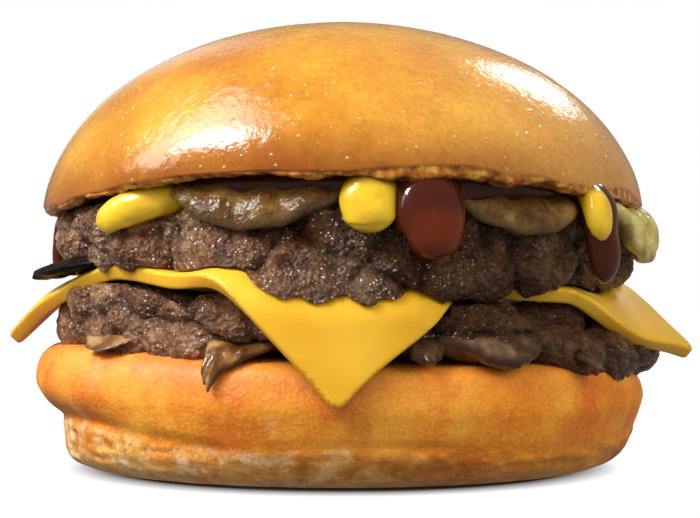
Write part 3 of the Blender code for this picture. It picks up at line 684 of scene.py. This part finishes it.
def strand_grid(route):
    """A soft strand that lies flat against the beef's side."""
    places = along_path(route, *STRAND_GRID)
    push = 0.30 * swell(places, 4.2, 91) + 0.10 * swell(places, 1.8, 92)
    places = places + outward(places) * push[..., None]
    out, _ = polar(places)
    pressed = np.minimum(out, STRAND_FLAT_FROM)
    pressed = pressed + STRAND_DEPTH * np.maximum(out - STRAND_FLAT_FROM, 0)
    share = pressed / np.maximum(out, 1)
    return widened(places, share)


def sauce_grid():
    """A thin turned layer between beef and crown, which keeps less depth where it runs over the pickles."""
    top, foot = CROWN_UNDER - 0.5, SAUCE_FOOT
    curve = [(0, top), (34, top - 0.4), (SAUCE_RADIUS - 1.6, 44.9), (SAUCE_RADIUS, 44.0)]
    curve += [(SAUCE_RADIUS - 0.8, foot + 0.2)] + [(out, foot) for out in (39, 33, 27, 21, 15, 0)]
    places = around(evenly(np.array(curve), SAUCE_GRID[0]), SAUCE_GRID[1])
    start = places[..., 2].copy()
    out, round_ = polar(places)
    wide = 1 + 0.055 * facing(round_, -90) * ramp(out, 20, 40)
    places = widened(places, wide)
    covers = [
        ramp(radius + 3.5 - np.hypot(places[..., 0] - centre[0], places[..., 1] - centre[1]), 0, 4)
        for _, radius, centre, *_ in PICKLES
    ]
    places[..., 2] = top - (top - places[..., 2]) * (1 - 0.7 * np.max(covers, axis=0))
    places[..., 2] += 1.3 * np.sin(round_) ** 2 * ramp(out, 30, SAUCE_RADIUS)
    return lean(places, 0.3 * (1 - ramp(start, foot, foot + 1.5)))


def rim_bead():
    """The sauce's own edge: a strand at a steady radius under the crown's lip, uneven in thickness."""
    heading = np.radians([-130, -118, -106, -94, -84, -74, -62, -50, -42, -35])
    thick = [0.6, 1.5, 2.1, 1.9, 1.6, 3.2, 2.6, 2.2, 1.5, 0.5]
    height = 43.3 + 0.9 * np.sin(heading) ** 2
    return np.column_stack([45.6 * np.cos(heading), 45.6 * np.sin(heading), height, thick])


# Onions and charred leaf

# Name, length, width and thickness of each fried petal, its centre, heading, pitch and bend in degrees,
# then its curl, how far its outer end narrows and how far that end is drawn to the side
ONIONS = [
    ("onion_1", 11.0, 14.0, 1.3, (-34.6, -31.0, 21.0), -138, 4, 18, (0.6, 0.3, 1.0)),
    ("onion_2", 20.0, 15.0, 1.8, (-11.8, -43.4, 21.6), -106, 8, 60, (1.4, 0.75, -5.5)),
    ("onion_3", 12.0, 9.0, 2.8, (11.0, -44.4, 22.0), -79, 2, 20, (0.8, 0.3, 0.0)),
    ("onion_4", 13.0, 18.0, 4.4, (20.8, -41.4, 22.4), -64, 2, 18, (1.6, 0.3, 1.5)),
    ("onion_5", 12.0, 7.0, 1.6, (35.0, -33.6, 21.0), -44, 2, 24, (0.6, 0.3, 0.0)),
]


def onion_grid(length, width, thick, centre, heading, pitch, most, shape):
    """A cupped oval with ribs along it and a ragged outline, bent over the bun's edge."""
    curl, narrowing, drawn = shape
    turn = np.linspace(0, math.pi, ONION_GRID[0])
    unit = around(np.column_stack([np.sin(turn), np.cos(turn)]), ONION_GRID[1])
    _, round_ = polar(unit)
    ragged = 1 + 0.05 * np.sin(3 * round_ + length) + 0.03 * np.sin(8 * round_) + 0.02 * np.sin(17 * round_)
    places = unit * (length / 2, width / 2, thick / 2)
    places[..., :2] *= ragged[..., None]
    along = places[..., 0] / (length / 2)
    outer = ramp(along, -0.3, 1.0)
    places[..., 1] = places[..., 1] * (1 - narrowing * outer) + drawn * outer
    across = places[..., 1] / (width / 2)
    places[..., 2] += curl * (across**2 - 0.3) + 0.3 * np.sin(5 * along + 2 * across)
    places[..., 2] += 0.03 * np.sin(across * width * 1.9 + 1.5 * along) + 0.16 * swell(places, 2.6, 95)
    edge = ramp(1 - np.abs(unit[..., 2]), 0.35, 0.95)
    places = bend_down(places, 1.0, 7.0, most)
    return lean(placed(places, centre, heading, pitch)), {"rim": edge}


CHAR_ROUTE = [
    (-34.0, -28.0, 33.4, 1.8), (-39.0, -25.6, 33.4, 2.8), (-43.6, -21.6, 32.7, 3.1),
    (-47.8, -16.6, 31.9, 2.4), (-52.0, -11.0, 31.2, 0.4),
]


def char_grid():
    """A blackened strip of onion skin: a crumpled strand pressed flat about its middle line."""
    places = along_path(CHAR_ROUTE, *CHAR_GRID)
    middle = np.interp(-places[..., 0], [34, 40, 47, 53], [33.4, 33.2, 32.0, 31.2])
    flat = places.copy()
    flat[..., 2] = middle + 0.34 * (places[..., 2] - middle)
    flat[..., 2] += 0.35 * np.sin(places[..., 0] * 0.9 + places[..., 1])
    return flat + outward(flat) * (0.14 * swell(flat, 1.4, 97))[..., None]


# Materials

# What a kind of node is set to where a call doesn't say otherwise
USUAL = {
    "Mix": {"data_type": "RGBA"},
    "Math": {"operation": "MULTIPLY"},
    "VectorMath": {"operation": "DISTANCE"},
}


def linear(code):
    """Linear red, green, blue and 1 from an sRGB hex colour."""
    parts = np.array([int(code[at:at + 2], 16) for at in (1, 3, 5)]) / 255
    return (*np.where(parts <= 0.04045, parts / 12.92, ((parts + 0.055) / 1.055) ** 2.4), 1.0)


def output(value):
    """The first output in use of a node. Any other value comes back as it is."""
    if isinstance(value, bpy.types.Node):
        return next(socket for socket in value.outputs if socket.enabled)
    return value


def add(tree, kind, links=None, stops=None, **settings):
    """Adds a node. Links give its sockets, in order or by name or number, a value, a colour or what to join.
    Stops are a colour ramp's places and colours."""
    made = tree.nodes.new("ShaderNode" + kind)
    for key, value in {**USUAL.get(kind, {}), **settings}.items():
        setattr(made, key, value)
    links = dict(enumerate(links)) if isinstance(links, list) else links or {}
    for key, value in links.items():
        value = linear(value) if isinstance(value, str) else output(value)
        if isinstance(value, bpy.types.NodeSocket):
            tree.links.new(value, made.inputs[key])
        else:
            made.inputs[key].default_value = value
    if stops:
        elements = made.color_ramp.elements
        while len(elements) < len(stops):
            elements.new(0.5)
        for element, (at, colour) in zip(elements, stops.items()):
            element.position = at
            element.color = linear(colour) if isinstance(colour, str) else (colour, colour, colour, 1)
    return made


def begin(name, **values):
    """A material with its shader's own values set, a function that adds nodes to it, and the object's
    coordinates in millimetres."""
    material = bpy.data.materials.new(name)
    material.use_nodes = True
    shader = material.node_tree.nodes["Principled BSDF"]
    for key, value in values.items():
        shader.inputs[key.replace("_", " ")].default_value = value
    node = partial(add, material.node_tree)
    metres = node("TexCoord").outputs["Object"]
    return material, node, node("VectorMath", [metres, (1 / MM, 1 / MM, 1 / MM)], operation="MULTIPLY")


def grains(mm, size, detail=3.0, roughness=0.5):
    """What a noise texture reads for grains of about size millimetres."""
    return {"Vector": mm, "Scale": 1 / size, "Detail": detail, "Roughness": roughness}


def clouds(node, mm, size, stops, *fineness):
    """Noise with grains of about size millimetres, shown in the colours of the stops."""
    return node("ValToRGB", [node("TexNoise", grains(mm, size, *fineness))], stops)


def bumps(node, mm, size, height, *fineness):
    """Noise with grains of about size millimetres that seem up to height millimetres high."""
    return node("Bump", {"Height": node("TexNoise", grains(mm, size, *fineness)), "Distance": height * MM})


def layered(node, colour, *layers):
    """A colour with others laid over it in turn, each given by its share, itself and how it is blended."""
    for share, over, *blend in layers:
        colour = node("Mix", {0: share, 6: colour, 7: over}, blend_type=blend[0] if blend else "MIX")
    return colour


def joined(material, **ends):
    """The material, once each given node is joined to its shader's socket of that name."""
    tree = material.node_tree
    for key, value in ends.items():
        tree.links.new(output(value), tree.nodes["Principled BSDF"].inputs[key.replace("_", " ")])
    return material


def glazed_brioche():
    """Enriched dough brushed with egg and baked: golden, darker towards the rim partly as painted shade,
    paler on the right as painted light, with tiny pale blisters in a hard gloss that breaks up over the
    skin's fine dimples."""
    material, node, mm = begin(
        "glazed_brioche", Roughness=0.55, IOR=1.4, Specular_IOR_Level=0.1,
        Coat_Weight=1.0, Coat_Roughness=0.08, Coat_IOR=1.6, Subsurface_Weight=0.12, Subsurface_Scale=0.002,
    )
    base = clouds(node, mm, 20, {0.34: "#b66e16", 0.50: "#c9861e", 0.64: "#d59a2a"}, 3.0, 0.6)
    # Painted light: paler towards the right of the dome, where more light falls on it
    turned_away = node("MapRange", [node("SeparateXYZ", [mm]), -5.0, 45.0, 0, 0.7])
    browned = node("Attribute", attribute_name="browned").outputs["Fac"]
    shade = clouds(node, mm, 1.1, {0.36: 0.80, 0.58: 1.0}, 3.0, 0.6)
    cells = node("TexVoronoi", {"Vector": mm, "Scale": 1 / 1.5})
    spot = node("MapRange", [cells.outputs["Distance"], 0.22, 0.06])
    chosen = node("MapRange", [cells.outputs["Color"], 0.54, 0.70])
    blister = node("Math", [spot, chosen])
    pale = node("Math", [blister, 0.45])
    torn = node("Attribute", attribute_name="torn").outputs["Fac"]
    crumb = clouds(node, mm, 1.6, {0.35: "#6e3209", 0.52: "#b06a1c", 0.68: "#dc9c3e"})
    # Over the base the right side is laid paler, which is painted light, and the rim darker, partly its own
    # browning and partly painted shade
    colour = layered(
        node, base, (turned_away, "#e0a658"), (browned, "#8c400a"), (0.8, shade, "MULTIPLY"),
        (pale, "#f9dca6"), (torn, crumb),
    )
    dimples = node("TexNoise", grains(mm, 1.8, 4.0, 0.62))
    raised = node("Math", [blister, 0.9, dimples], operation="MULTIPLY_ADD")
    bump = node("Bump", {"Height": raised, "Distance": 0.16 * MM})
    return joined(material, Base_Color=colour, Normal=bump, Coat_Normal=bump)


def soft_crust():
    """The lower half of the same loaf, baked without wash: satin orange-gold skin with fine pale freckles and
    redder baked spots, paler at its steamed shoulder, and torn to open crumb near the foot, which is browner
    towards the right, partly as painted shade."""
    material, node, mm = begin(
        "soft_crust", Roughness=0.55, IOR=1.45, Coat_Weight=0.12, Coat_Roughness=0.35,
        Subsurface_Weight=0.12, Subsurface_Scale=0.002,
    )
    tone = node("TexNoise", grains(mm, 13, 4.0, 0.6))
    base = node("ValToRGB", [tone], {0.36: "#dc7614", 0.50: "#ea9020", 0.62: "#f3a430"})
    shoulder = node("Attribute", attribute_name="shoulder").outputs["Fac"]
    steamed = node("Math", [shoulder, tone])
    spots = node("TexNoise", grains(mm, 8))
    baked = node("MapRange", [spots, 0.50, 0.64, 0, 0.5])
    grain = node("TexNoise", grains(mm, 0.6, 3.0, 0.65))
    freckle = node("MapRange", [grain, 0.54, 0.74, 0, 0.4])
    shade = node("ValToRGB", [grain], {0.28: 0.78, 0.50: 1.0})
    crumb = node("TexNoise", grains(mm, 3.4, 5.0, 0.7))
    golden = node("ValToRGB", [crumb], {0.36: "#d08428", 0.48: "#f2b866", 0.60: "#ffe8bc"})
    brown = node("ValToRGB", [crumb], {0.38: "#8e4a10", 0.50: "#ba7022", 0.66: "#e4a654"})
    # Painted shade, in part: the torn crumb turns browner towards the right, the side away from the key
    # light, as well as by its own colour
    turned = node("MapRange", [node("SeparateXYZ", [mm]), -30.0, 12.0])
    torn = node("Attribute", attribute_name="torn").outputs["Fac"]
    open_share = node("Math", [torn, 0.75])
    colour = layered(
        node, base, (steamed, "#de8a30"), (baked, "#cc560e"), (freckle, "#f8c472"), (0.6, shade, "MULTIPLY"),
        (open_share, layered(node, golden, (turned, brown))),
    )
    return joined(material, Base_Color=colour, Normal=node("Bump", {"Height": grain, "Distance": 0.18 * MM}))


def grilled_beef():
    """Minced beef seared on a griddle: granular grey-brown lobes with darker red-brown crust, wet with fat
    that glints under the lamps, with painted glints on its grains as well, and painted shade in its hollows
    and towards the right."""
    material, node, mm = begin(
        "grilled_beef", IOR=1.4, Specular_IOR_Level=0.2, Coat_Weight=1.0, Coat_Roughness=0.08, Coat_IOR=1.55,
        Subsurface_Weight=0.08, Subsurface_Scale=0.001,
    )
    base = clouds(node, mm, 9, {0.36: "#70391a", 0.50: "#a66e42", 0.64: "#d2a272"}, 5.0, 0.62)
    rust = node("TexNoise", grains(mm, 2.4, 3.0, 0.6))
    rusty = node("MapRange", [rust, 0.50, 0.68, 0, 0.6])
    aside = node("SeparateXYZ", [mm])
    # Darker towards the right: partly the sear's own colour, partly painted shade on the side away from the
    # key light
    charred = node("MapRange", [aside, -24.0, 6.0, 0, 0.72])
    grain = node("TexVoronoi", {"Vector": mm, "Scale": 1 / 0.75}, feature="SMOOTH_F1").outputs["Distance"]
    speck = node("ValToRGB", [grain], {0.12: 1.0, 0.62: 0.34})
    # Painted shade in the creases and pits of the relief
    hollow = node("Attribute", attribute_name="hollow").outputs["Fac"]
    deep = node("Math", [hollow, 0.75])
    wet = node("TexNoise", grains(mm, 3.2, 2.0))
    # Painted glints: sparse near-white dots in the colour stand for the highlights on beads of fat, drawn
    # 0.25 mm wide so that they show, and fewer towards the right, where less light falls
    beads = node("TexVoronoi", {"Vector": mm, "Scale": 1 / 0.55})
    spark = node("MapRange", [beads.outputs["Distance"], 0.32, 0.18])
    few = node("MapRange", [beads.outputs["Color"], 0.50, 0.56])
    moist = node("MapRange", [wet, 0.44, 0.56, 0, 0.9])
    fading = node("MapRange", [aside, 6.0, 24.0, 1.0, 0.2])
    for share in (few, moist, fading):
        spark = node("Math", [spark, share])
    colour = layered(
        node, base, (rusty, "#552a14"), (charred, "#381c05"), (0.8, speck, "MULTIPLY"), (deep, "#241108"),
        (spark, "#fff4e6"),
    )
    gloss = node("MapRange", [wet, 0.35, 0.65, 0.60, 0.28])
    fibre = node("TexNoise", grains(mm, 0.6, 3.0, 0.65))
    lumps = node("Math", [grain, -0.9, fibre], operation="MULTIPLY_ADD")
    bump = node("Bump", {"Height": lumps, "Distance": 1.1 * MM})
    film = node("TexNoise", grains(mm, 0.5, 1.0))
    wet_film = node("Bump", {"Height": film, "Distance": 0.8 * MM, "Normal": bump})
    return joined(material, Base_Color=colour, Roughness=gloss, Normal=bump, Coat_Normal=wet_film)


def processed_cheese():
    """Emulsified slice, softened by heat: an even butter yellow that lets light in, satin on its face, with a
    line of toasted specks along its upper edge."""
    material, node, mm = begin(
        "processed_cheese", Roughness=0.42, IOR=1.45, Specular_IOR_Level=0.3,
        Coat_Weight=0.15, Coat_Roughness=0.22,
        Subsurface_Weight=0.35, Subsurface_Scale=0.003, Subsurface_Radius=(1.0, 0.55, 0.12),
    )
    base = clouds(node, mm, 11, {0.35: "#e0a722", 0.65: "#e8b534"})
    specks = node("TexNoise", grains(mm, 0.7, 2.0))
    line = node("MapRange", [specks, 0.55, 0.65, 0, 0.6])
    patches = node("TexNoise", grains(mm, 9, 1.0))
    sparse = node("MapRange", [patches, 0.42, 0.56])
    edge = node("Attribute", attribute_name="upper_edge").outputs["Fac"]
    for share in (sparse, edge):
        line = node("Math", [line, share])
    colour = layered(node, base, (line, "#96581a"))
    return joined(material, Base_Color=colour, Normal=bumps(node, mm, 2.8, 0.08))


def pickled_cucumber():
    """Cucumber steeped in brine: wet, glassy flesh with darker skin at its rim, brown at the front from the
    sauce and from painted shade, and pale at the side as painted light."""
    material, node, mm = begin(
        "pickled_cucumber", Roughness=0.3, IOR=1.38, Specular_IOR_Level=0.2,
        Coat_Weight=0.9, Coat_Roughness=0.05,
        Subsurface_Weight=0.35, Subsurface_Scale=0.002, Subsurface_Radius=(0.8, 0.9, 0.3),
    )
    tone = node("TexNoise", grains(mm, 3.5, 4.0, 0.6))
    brown = node("ValToRGB", [tone], {0.34: "#4a2f10", 0.52: "#6c4a20", 0.68: "#8c6c38"})
    fresh = node("ValToRGB", [tone], {0.34: "#a8954a", 0.52: "#cdb866", 0.68: "#e4d684"})
    # Brown at the front partly as painted shade, pale at the side as painted light
    soaked = node("Attribute", attribute_name="soaked").outputs["Fac"]
    rim = node("Attribute", attribute_name="rim").outputs["Fac"]
    colour = layered(node, fresh, (soaked, brown), (node("Math", [rim, 0.45]), "#5c5034"))
    bump = bumps(node, mm, 1.2, 0.6)
    return joined(material, Base_Color=colour, Normal=bump, Coat_Normal=bump)


DRIP_HEART = (13.0, -47.0, 37.0)


def dark_relish_sauce():
    """A thick cooked sauce of tomato and molasses: dark red-brown, darker up under the crown's lip partly
    where it pools and partly as painted shade, and brighter at the heart of the front drip, a painted glow of
    light shining through it, with a mirror-wet skin."""
    material, node, mm = begin(
        "dark_relish_sauce", Roughness=0.30, IOR=1.4, Specular_IOR_Level=0.1,
        Coat_Weight=0.8, Coat_Roughness=0.04,
        Subsurface_Weight=0.2, Subsurface_Scale=0.002, Subsurface_Radius=(1.0, 0.25, 0.1),
    )
    # Painted light: brighter amber round this centre, for the light shining through the thick drip
    from_heart = node("VectorMath", [mm, DRIP_HEART])
    amber = node("MapRange", [from_heart, 1.5, 6.0, 1.0, 0.0])
    tone = node("TexNoise", grains(mm, 7))
    # Darker up near the crown's lip: partly sauce pooled thick there, partly painted shade under the lip
    height = node("SeparateXYZ", [mm]).outputs["Z"]
    depth = node("Math", [tone, 3.0, height], operation="MULTIPLY_ADD")
    pooled = node("MapRange", [depth, 40.5, 43.5, 0, 0.9])
    colour = layered(node, "#4a1708", (amber, "#963c0c"), (pooled, "#42170a"))
    bump = bumps(node, mm, 4, 0.12, 2.0)
    return joined(material, Base_Color=colour, Normal=bump, Coat_Normal=bump)


def yellow_mustard():
    """Smooth prepared mustard: bright yellow and opaque, with a soft wet sheen and tiny pores, and brown
    close under the lip, partly a stain from the sauce and partly painted shade."""
    material, node, mm = begin(
        "yellow_mustard", Roughness=0.30, IOR=1.42, Coat_Weight=0.6, Coat_Roughness=0.12,
        Subsurface_Weight=0.25, Subsurface_Scale=0.0015, Subsurface_Radius=(1.0, 0.8, 0.2),
    )
    bright = clouds(node, mm, 4, {0.35: "#deb01e", 0.65: "#ebc32c"}, 4.0)
    height = node("SeparateXYZ", [mm]).outputs["Z"]
    # Brown up under the crown's lip: partly a stain from the sauce, partly painted shade
    stained = node("MapRange", [height, 43.2, 44.6, 0, 0.85])
    colour = layered(node, bright, (stained, "#5c2c0c"))
    bump = bumps(node, mm, 1.6, 0.15)
    return joined(material, Base_Color=colour, Normal=bump, Coat_Normal=bump)


def fried_onion():
    """Onion softened in fat on the griddle: glassy straw-brown with fine grain and dark caramel edges, and
    darker towards the right of the burger."""
    material, node, mm = begin(
        "fried_onion", Roughness=0.28, IOR=1.42, Specular_IOR_Level=0.3,
        Coat_Weight=1.0, Coat_Roughness=0.05,
        Subsurface_Weight=0.35, Subsurface_Scale=0.0015, Subsurface_Radius=(1.0, 0.7, 0.4),
    )
    tone = node("TexNoise", grains(mm, 4, 4.0, 0.6))
    soft = node("ValToRGB", [tone], {0.36: "#54320f", 0.50: "#86582a", 0.64: "#ba9058"})
    seared = node("ValToRGB", [tone], {0.34: "#2a180c", 0.50: "#4c321e", 0.70: "#7c6046"})
    # Darker colours towards the right of the burger
    cooked = node("MapRange", [node("SeparateXYZ", [mm]), -16.0, 6.0])
    rim = node("Attribute", attribute_name="rim").outputs["Fac"]
    colour = layered(node, soft, (cooked, seared), (node("Math", [rim, 0.85]), "#32160a"))
    bump = bumps(node, mm, 1.0, 0.22)
    return joined(material, Base_Color=colour, Normal=bump, Coat_Normal=bump)


def charred_skin():
    """Onion skin burnt black and oily: almost no colour, with sharp small glints."""
    material, node, mm = begin(
        "charred_skin", Roughness=0.4, IOR=1.45, Specular_IOR_Level=0.05,
        Coat_Weight=0.1, Coat_Roughness=0.12,
    )
    black = clouds(node, mm, 2, {0.4: "#060302", 0.7: "#170c05"})
    return joined(material, Base_Color=black, Normal=bumps(node, mm, 0.8, 0.30))


# Middle of the painted contact shadow on the board
SHADOW_MIDDLE = (0, -9, 0)


def white_sweep():
    """Matt dark board that glows pure white, except in a patch round a point just in front of the burger
    where the glow fades out: a painted contact shadow, which the lamps' real shadow of the burger darkens
    further.
    """
    material, node, mm = begin("white_sweep", Roughness=0.9, Emission_Color=(1, 1, 1, 1))
    grey = clouds(node, mm, 60, {0.3: "#2c2c2c", 0.7: "#303030"}, 2.0)
    # Painted shadow: no glow within about 38 mm of a point just in front of the burger, so the dark board
    # shows there
    away = node("VectorMath", [mm, SHADOW_MIDDLE])
    glow = node("MapRange", [away, 38.5, 46.0, 0.0, 1.0])
    return joined(material, Base_Color=grey, Emission_Strength=glow)


# Studio

CAMERA_PLACE = (0.0012, -0.260, 0.0259)
FOCAL_PIXELS = 1485
PHOTO_WIDTH = 700
HORIZON_BELOW_MIDDLE = 50


def camera():
    """Looks along +Y from the front, tipped up so that the horizon falls below the middle of the picture."""
    lens = bpy.data.cameras.new("camera")
    lens.sensor_width = 36
    lens.lens = FOCAL_PIXELS / PHOTO_WIDTH * lens.sensor_width
    lens.clip_start = 0.01
    eye = bpy.data.objects.new("camera", lens)
    eye.location = CAMERA_PLACE
    eye.rotation_euler = (math.pi / 2 + math.atan(HORIZON_BELOW_MIDDLE / FOCAL_PIXELS), 0, 0)
    bpy.context.scene.collection.objects.link(eye)
    bpy.context.scene.camera = eye


# Name, direction from the burger, distance, width and height in metres, watts, and whether gloss mirrors it
LIGHTS = [
    ("key_softbox", (-0.70, -0.14, 0.70), 0.50, 0.42, 0.24, 1.65, True),
    ("key_lamp", (-0.60, -0.36, 0.72), 0.55, 0.15, 0.15, 2.3, True),
    ("upper_front", (-0.50, -0.62, 0.60), 0.60, 0.22, 0.22, 1.4, False),
    ("front_wall", (-0.05, -0.90, 0.20), 0.60, 0.90, 0.60, 1.0, False),
    ("left_low", (-0.60, -0.80, 0.05), 0.55, 0.30, 0.10, 0.5, False),
    ("right_fill", (0.85, -0.25, 0.45), 0.55, 0.40, 0.30, 2.0, False),
    ("back_right", (0.45, 0.65, 0.61), 0.50, 0.13, 0.10, 0.4, True),
    ("back_strip", (-0.25, 0.85, 0.35), 0.60, 0.50, 0.10, 0.08, True),
]
AIM = np.array([0, 0, 0.040])
BOARD_RADIUS = 6.0


def lights():
    """Flat soft panels that face the burger."""
    for name, direction, distance, width, height, watts, mirrored in LIGHTS:
        panel = bpy.data.lights.new(name, "AREA")
        panel.shape = "RECTANGLE"
        panel.size, panel.size_y, panel.energy = width, height, watts
        lamp = bpy.data.objects.new(name, panel)
        toward = np.array(direction) / np.linalg.norm(direction)
        lamp.location = AIM + toward * distance
        pitch, heading = math.acos(toward[2]), math.atan2(toward[1], toward[0])
        lamp.rotation_euler = (0, pitch, heading)
        lamp.visible_glossy = mirrored
        bpy.context.scene.collection.objects.link(lamp)


def surroundings():
    """A white room: the camera sees pure white, gloss mirrors it warm and at a quarter of that, and its soft
    light is dimmer still."""
    world = bpy.data.worlds.new("white_room")
    world.use_nodes = True
    world.node_tree.nodes.clear()
    node = partial(add, world.node_tree)
    seen = node("Background", {"Color": (1, 1, 1, 1), "Strength": 1.0})
    mirrored = node("Background", {"Color": (1.0, 0.93, 0.86, 1), "Strength": 0.24})
    cast = node("Background", {"Color": (1.0, 0.98, 0.95, 1), "Strength": 0.18})
    ray = node("LightPath")
    lit = node("MixShader", [ray.outputs["Is Glossy Ray"], cast, mirrored])
    both = node("MixShader", [ray.outputs["Is Camera Ray"], lit, seen])
    node("OutputWorld", {"Surface": both})
    bpy.context.scene.world = world


def ground():
    """A flat round board, so wide that its edge meets the horizon."""
    turn = np.linspace(0, 2 * math.pi, 96, endpoint=False)
    rim = BOARD_RADIUS * np.column_stack([np.cos(turn), np.sin(turn), 0 * turn])
    mesh = bpy.data.meshes.new("ground")
    mesh.from_pydata(rim.tolist(), [], [list(range(len(rim)))])
    mesh.materials.append(white_sweep())
    board = bpy.data.objects.new("ground", mesh)
    bpy.context.scene.collection.objects.link(board)
    # The board catches the burger's shadow, but throws no light of its own up under it
    board.visible_diffuse = False
    board.visible_glossy = False


# Assembly

def dress():
    """Makes every piece and gives it its material and the node that it stands for."""
    piece("lower_bun", soft_crust(), "crust_soft", "bun_heel", *heel_grid())
    piece("upper_bun", glazed_brioche(), "crust_glazed", "bun_crown", *crown_grid())
    piece("cheese", processed_cheese(), "cheese", "cheese_slice", *cheese_grid())
    limits, beef = cheese_limits(), grilled_beef()
    for name in PATTIES:
        piece("beef_" + name, beef, "beef", name, *patty_grid(name, limits))
    pickle = pickled_cucumber()
    for name, *sizes in PICKLES:
        piece("sliced_" + name, pickle, "pickle", name, *pickle_grid(*sizes))
    strands = [strand_grid(route) for route in (rim_bead(), *DRIPS.values())]
    sauce = piece("relish_sauce", dark_relish_sauce(), "sauce", "sauce", sauce_grid(), more=strands)
    fused(sauce, voxel=0.42, smoothings=8)
    mustard = yellow_mustard()
    for name, route in MUSTARDS.items():
        piece("smooth_" + name, mustard, "mustard", name, strand_grid(route))
    onion = fried_onion()
    for name, *sizes in ONIONS:
        piece("fried_" + name, onion, "onion", name, *onion_grid(*sizes))
    piece("burnt_skin", charred_skin(), "char", "charred_strip", char_grid())


def look():
    """Colours are shown as they are, with no film curve."""
    shown = bpy.context.scene.view_settings
    shown.view_transform = "Standard"
    shown.look = "None"
    shown.exposure = 0.0


camera()
dress()
ground()
lights()
surroundings()
look()
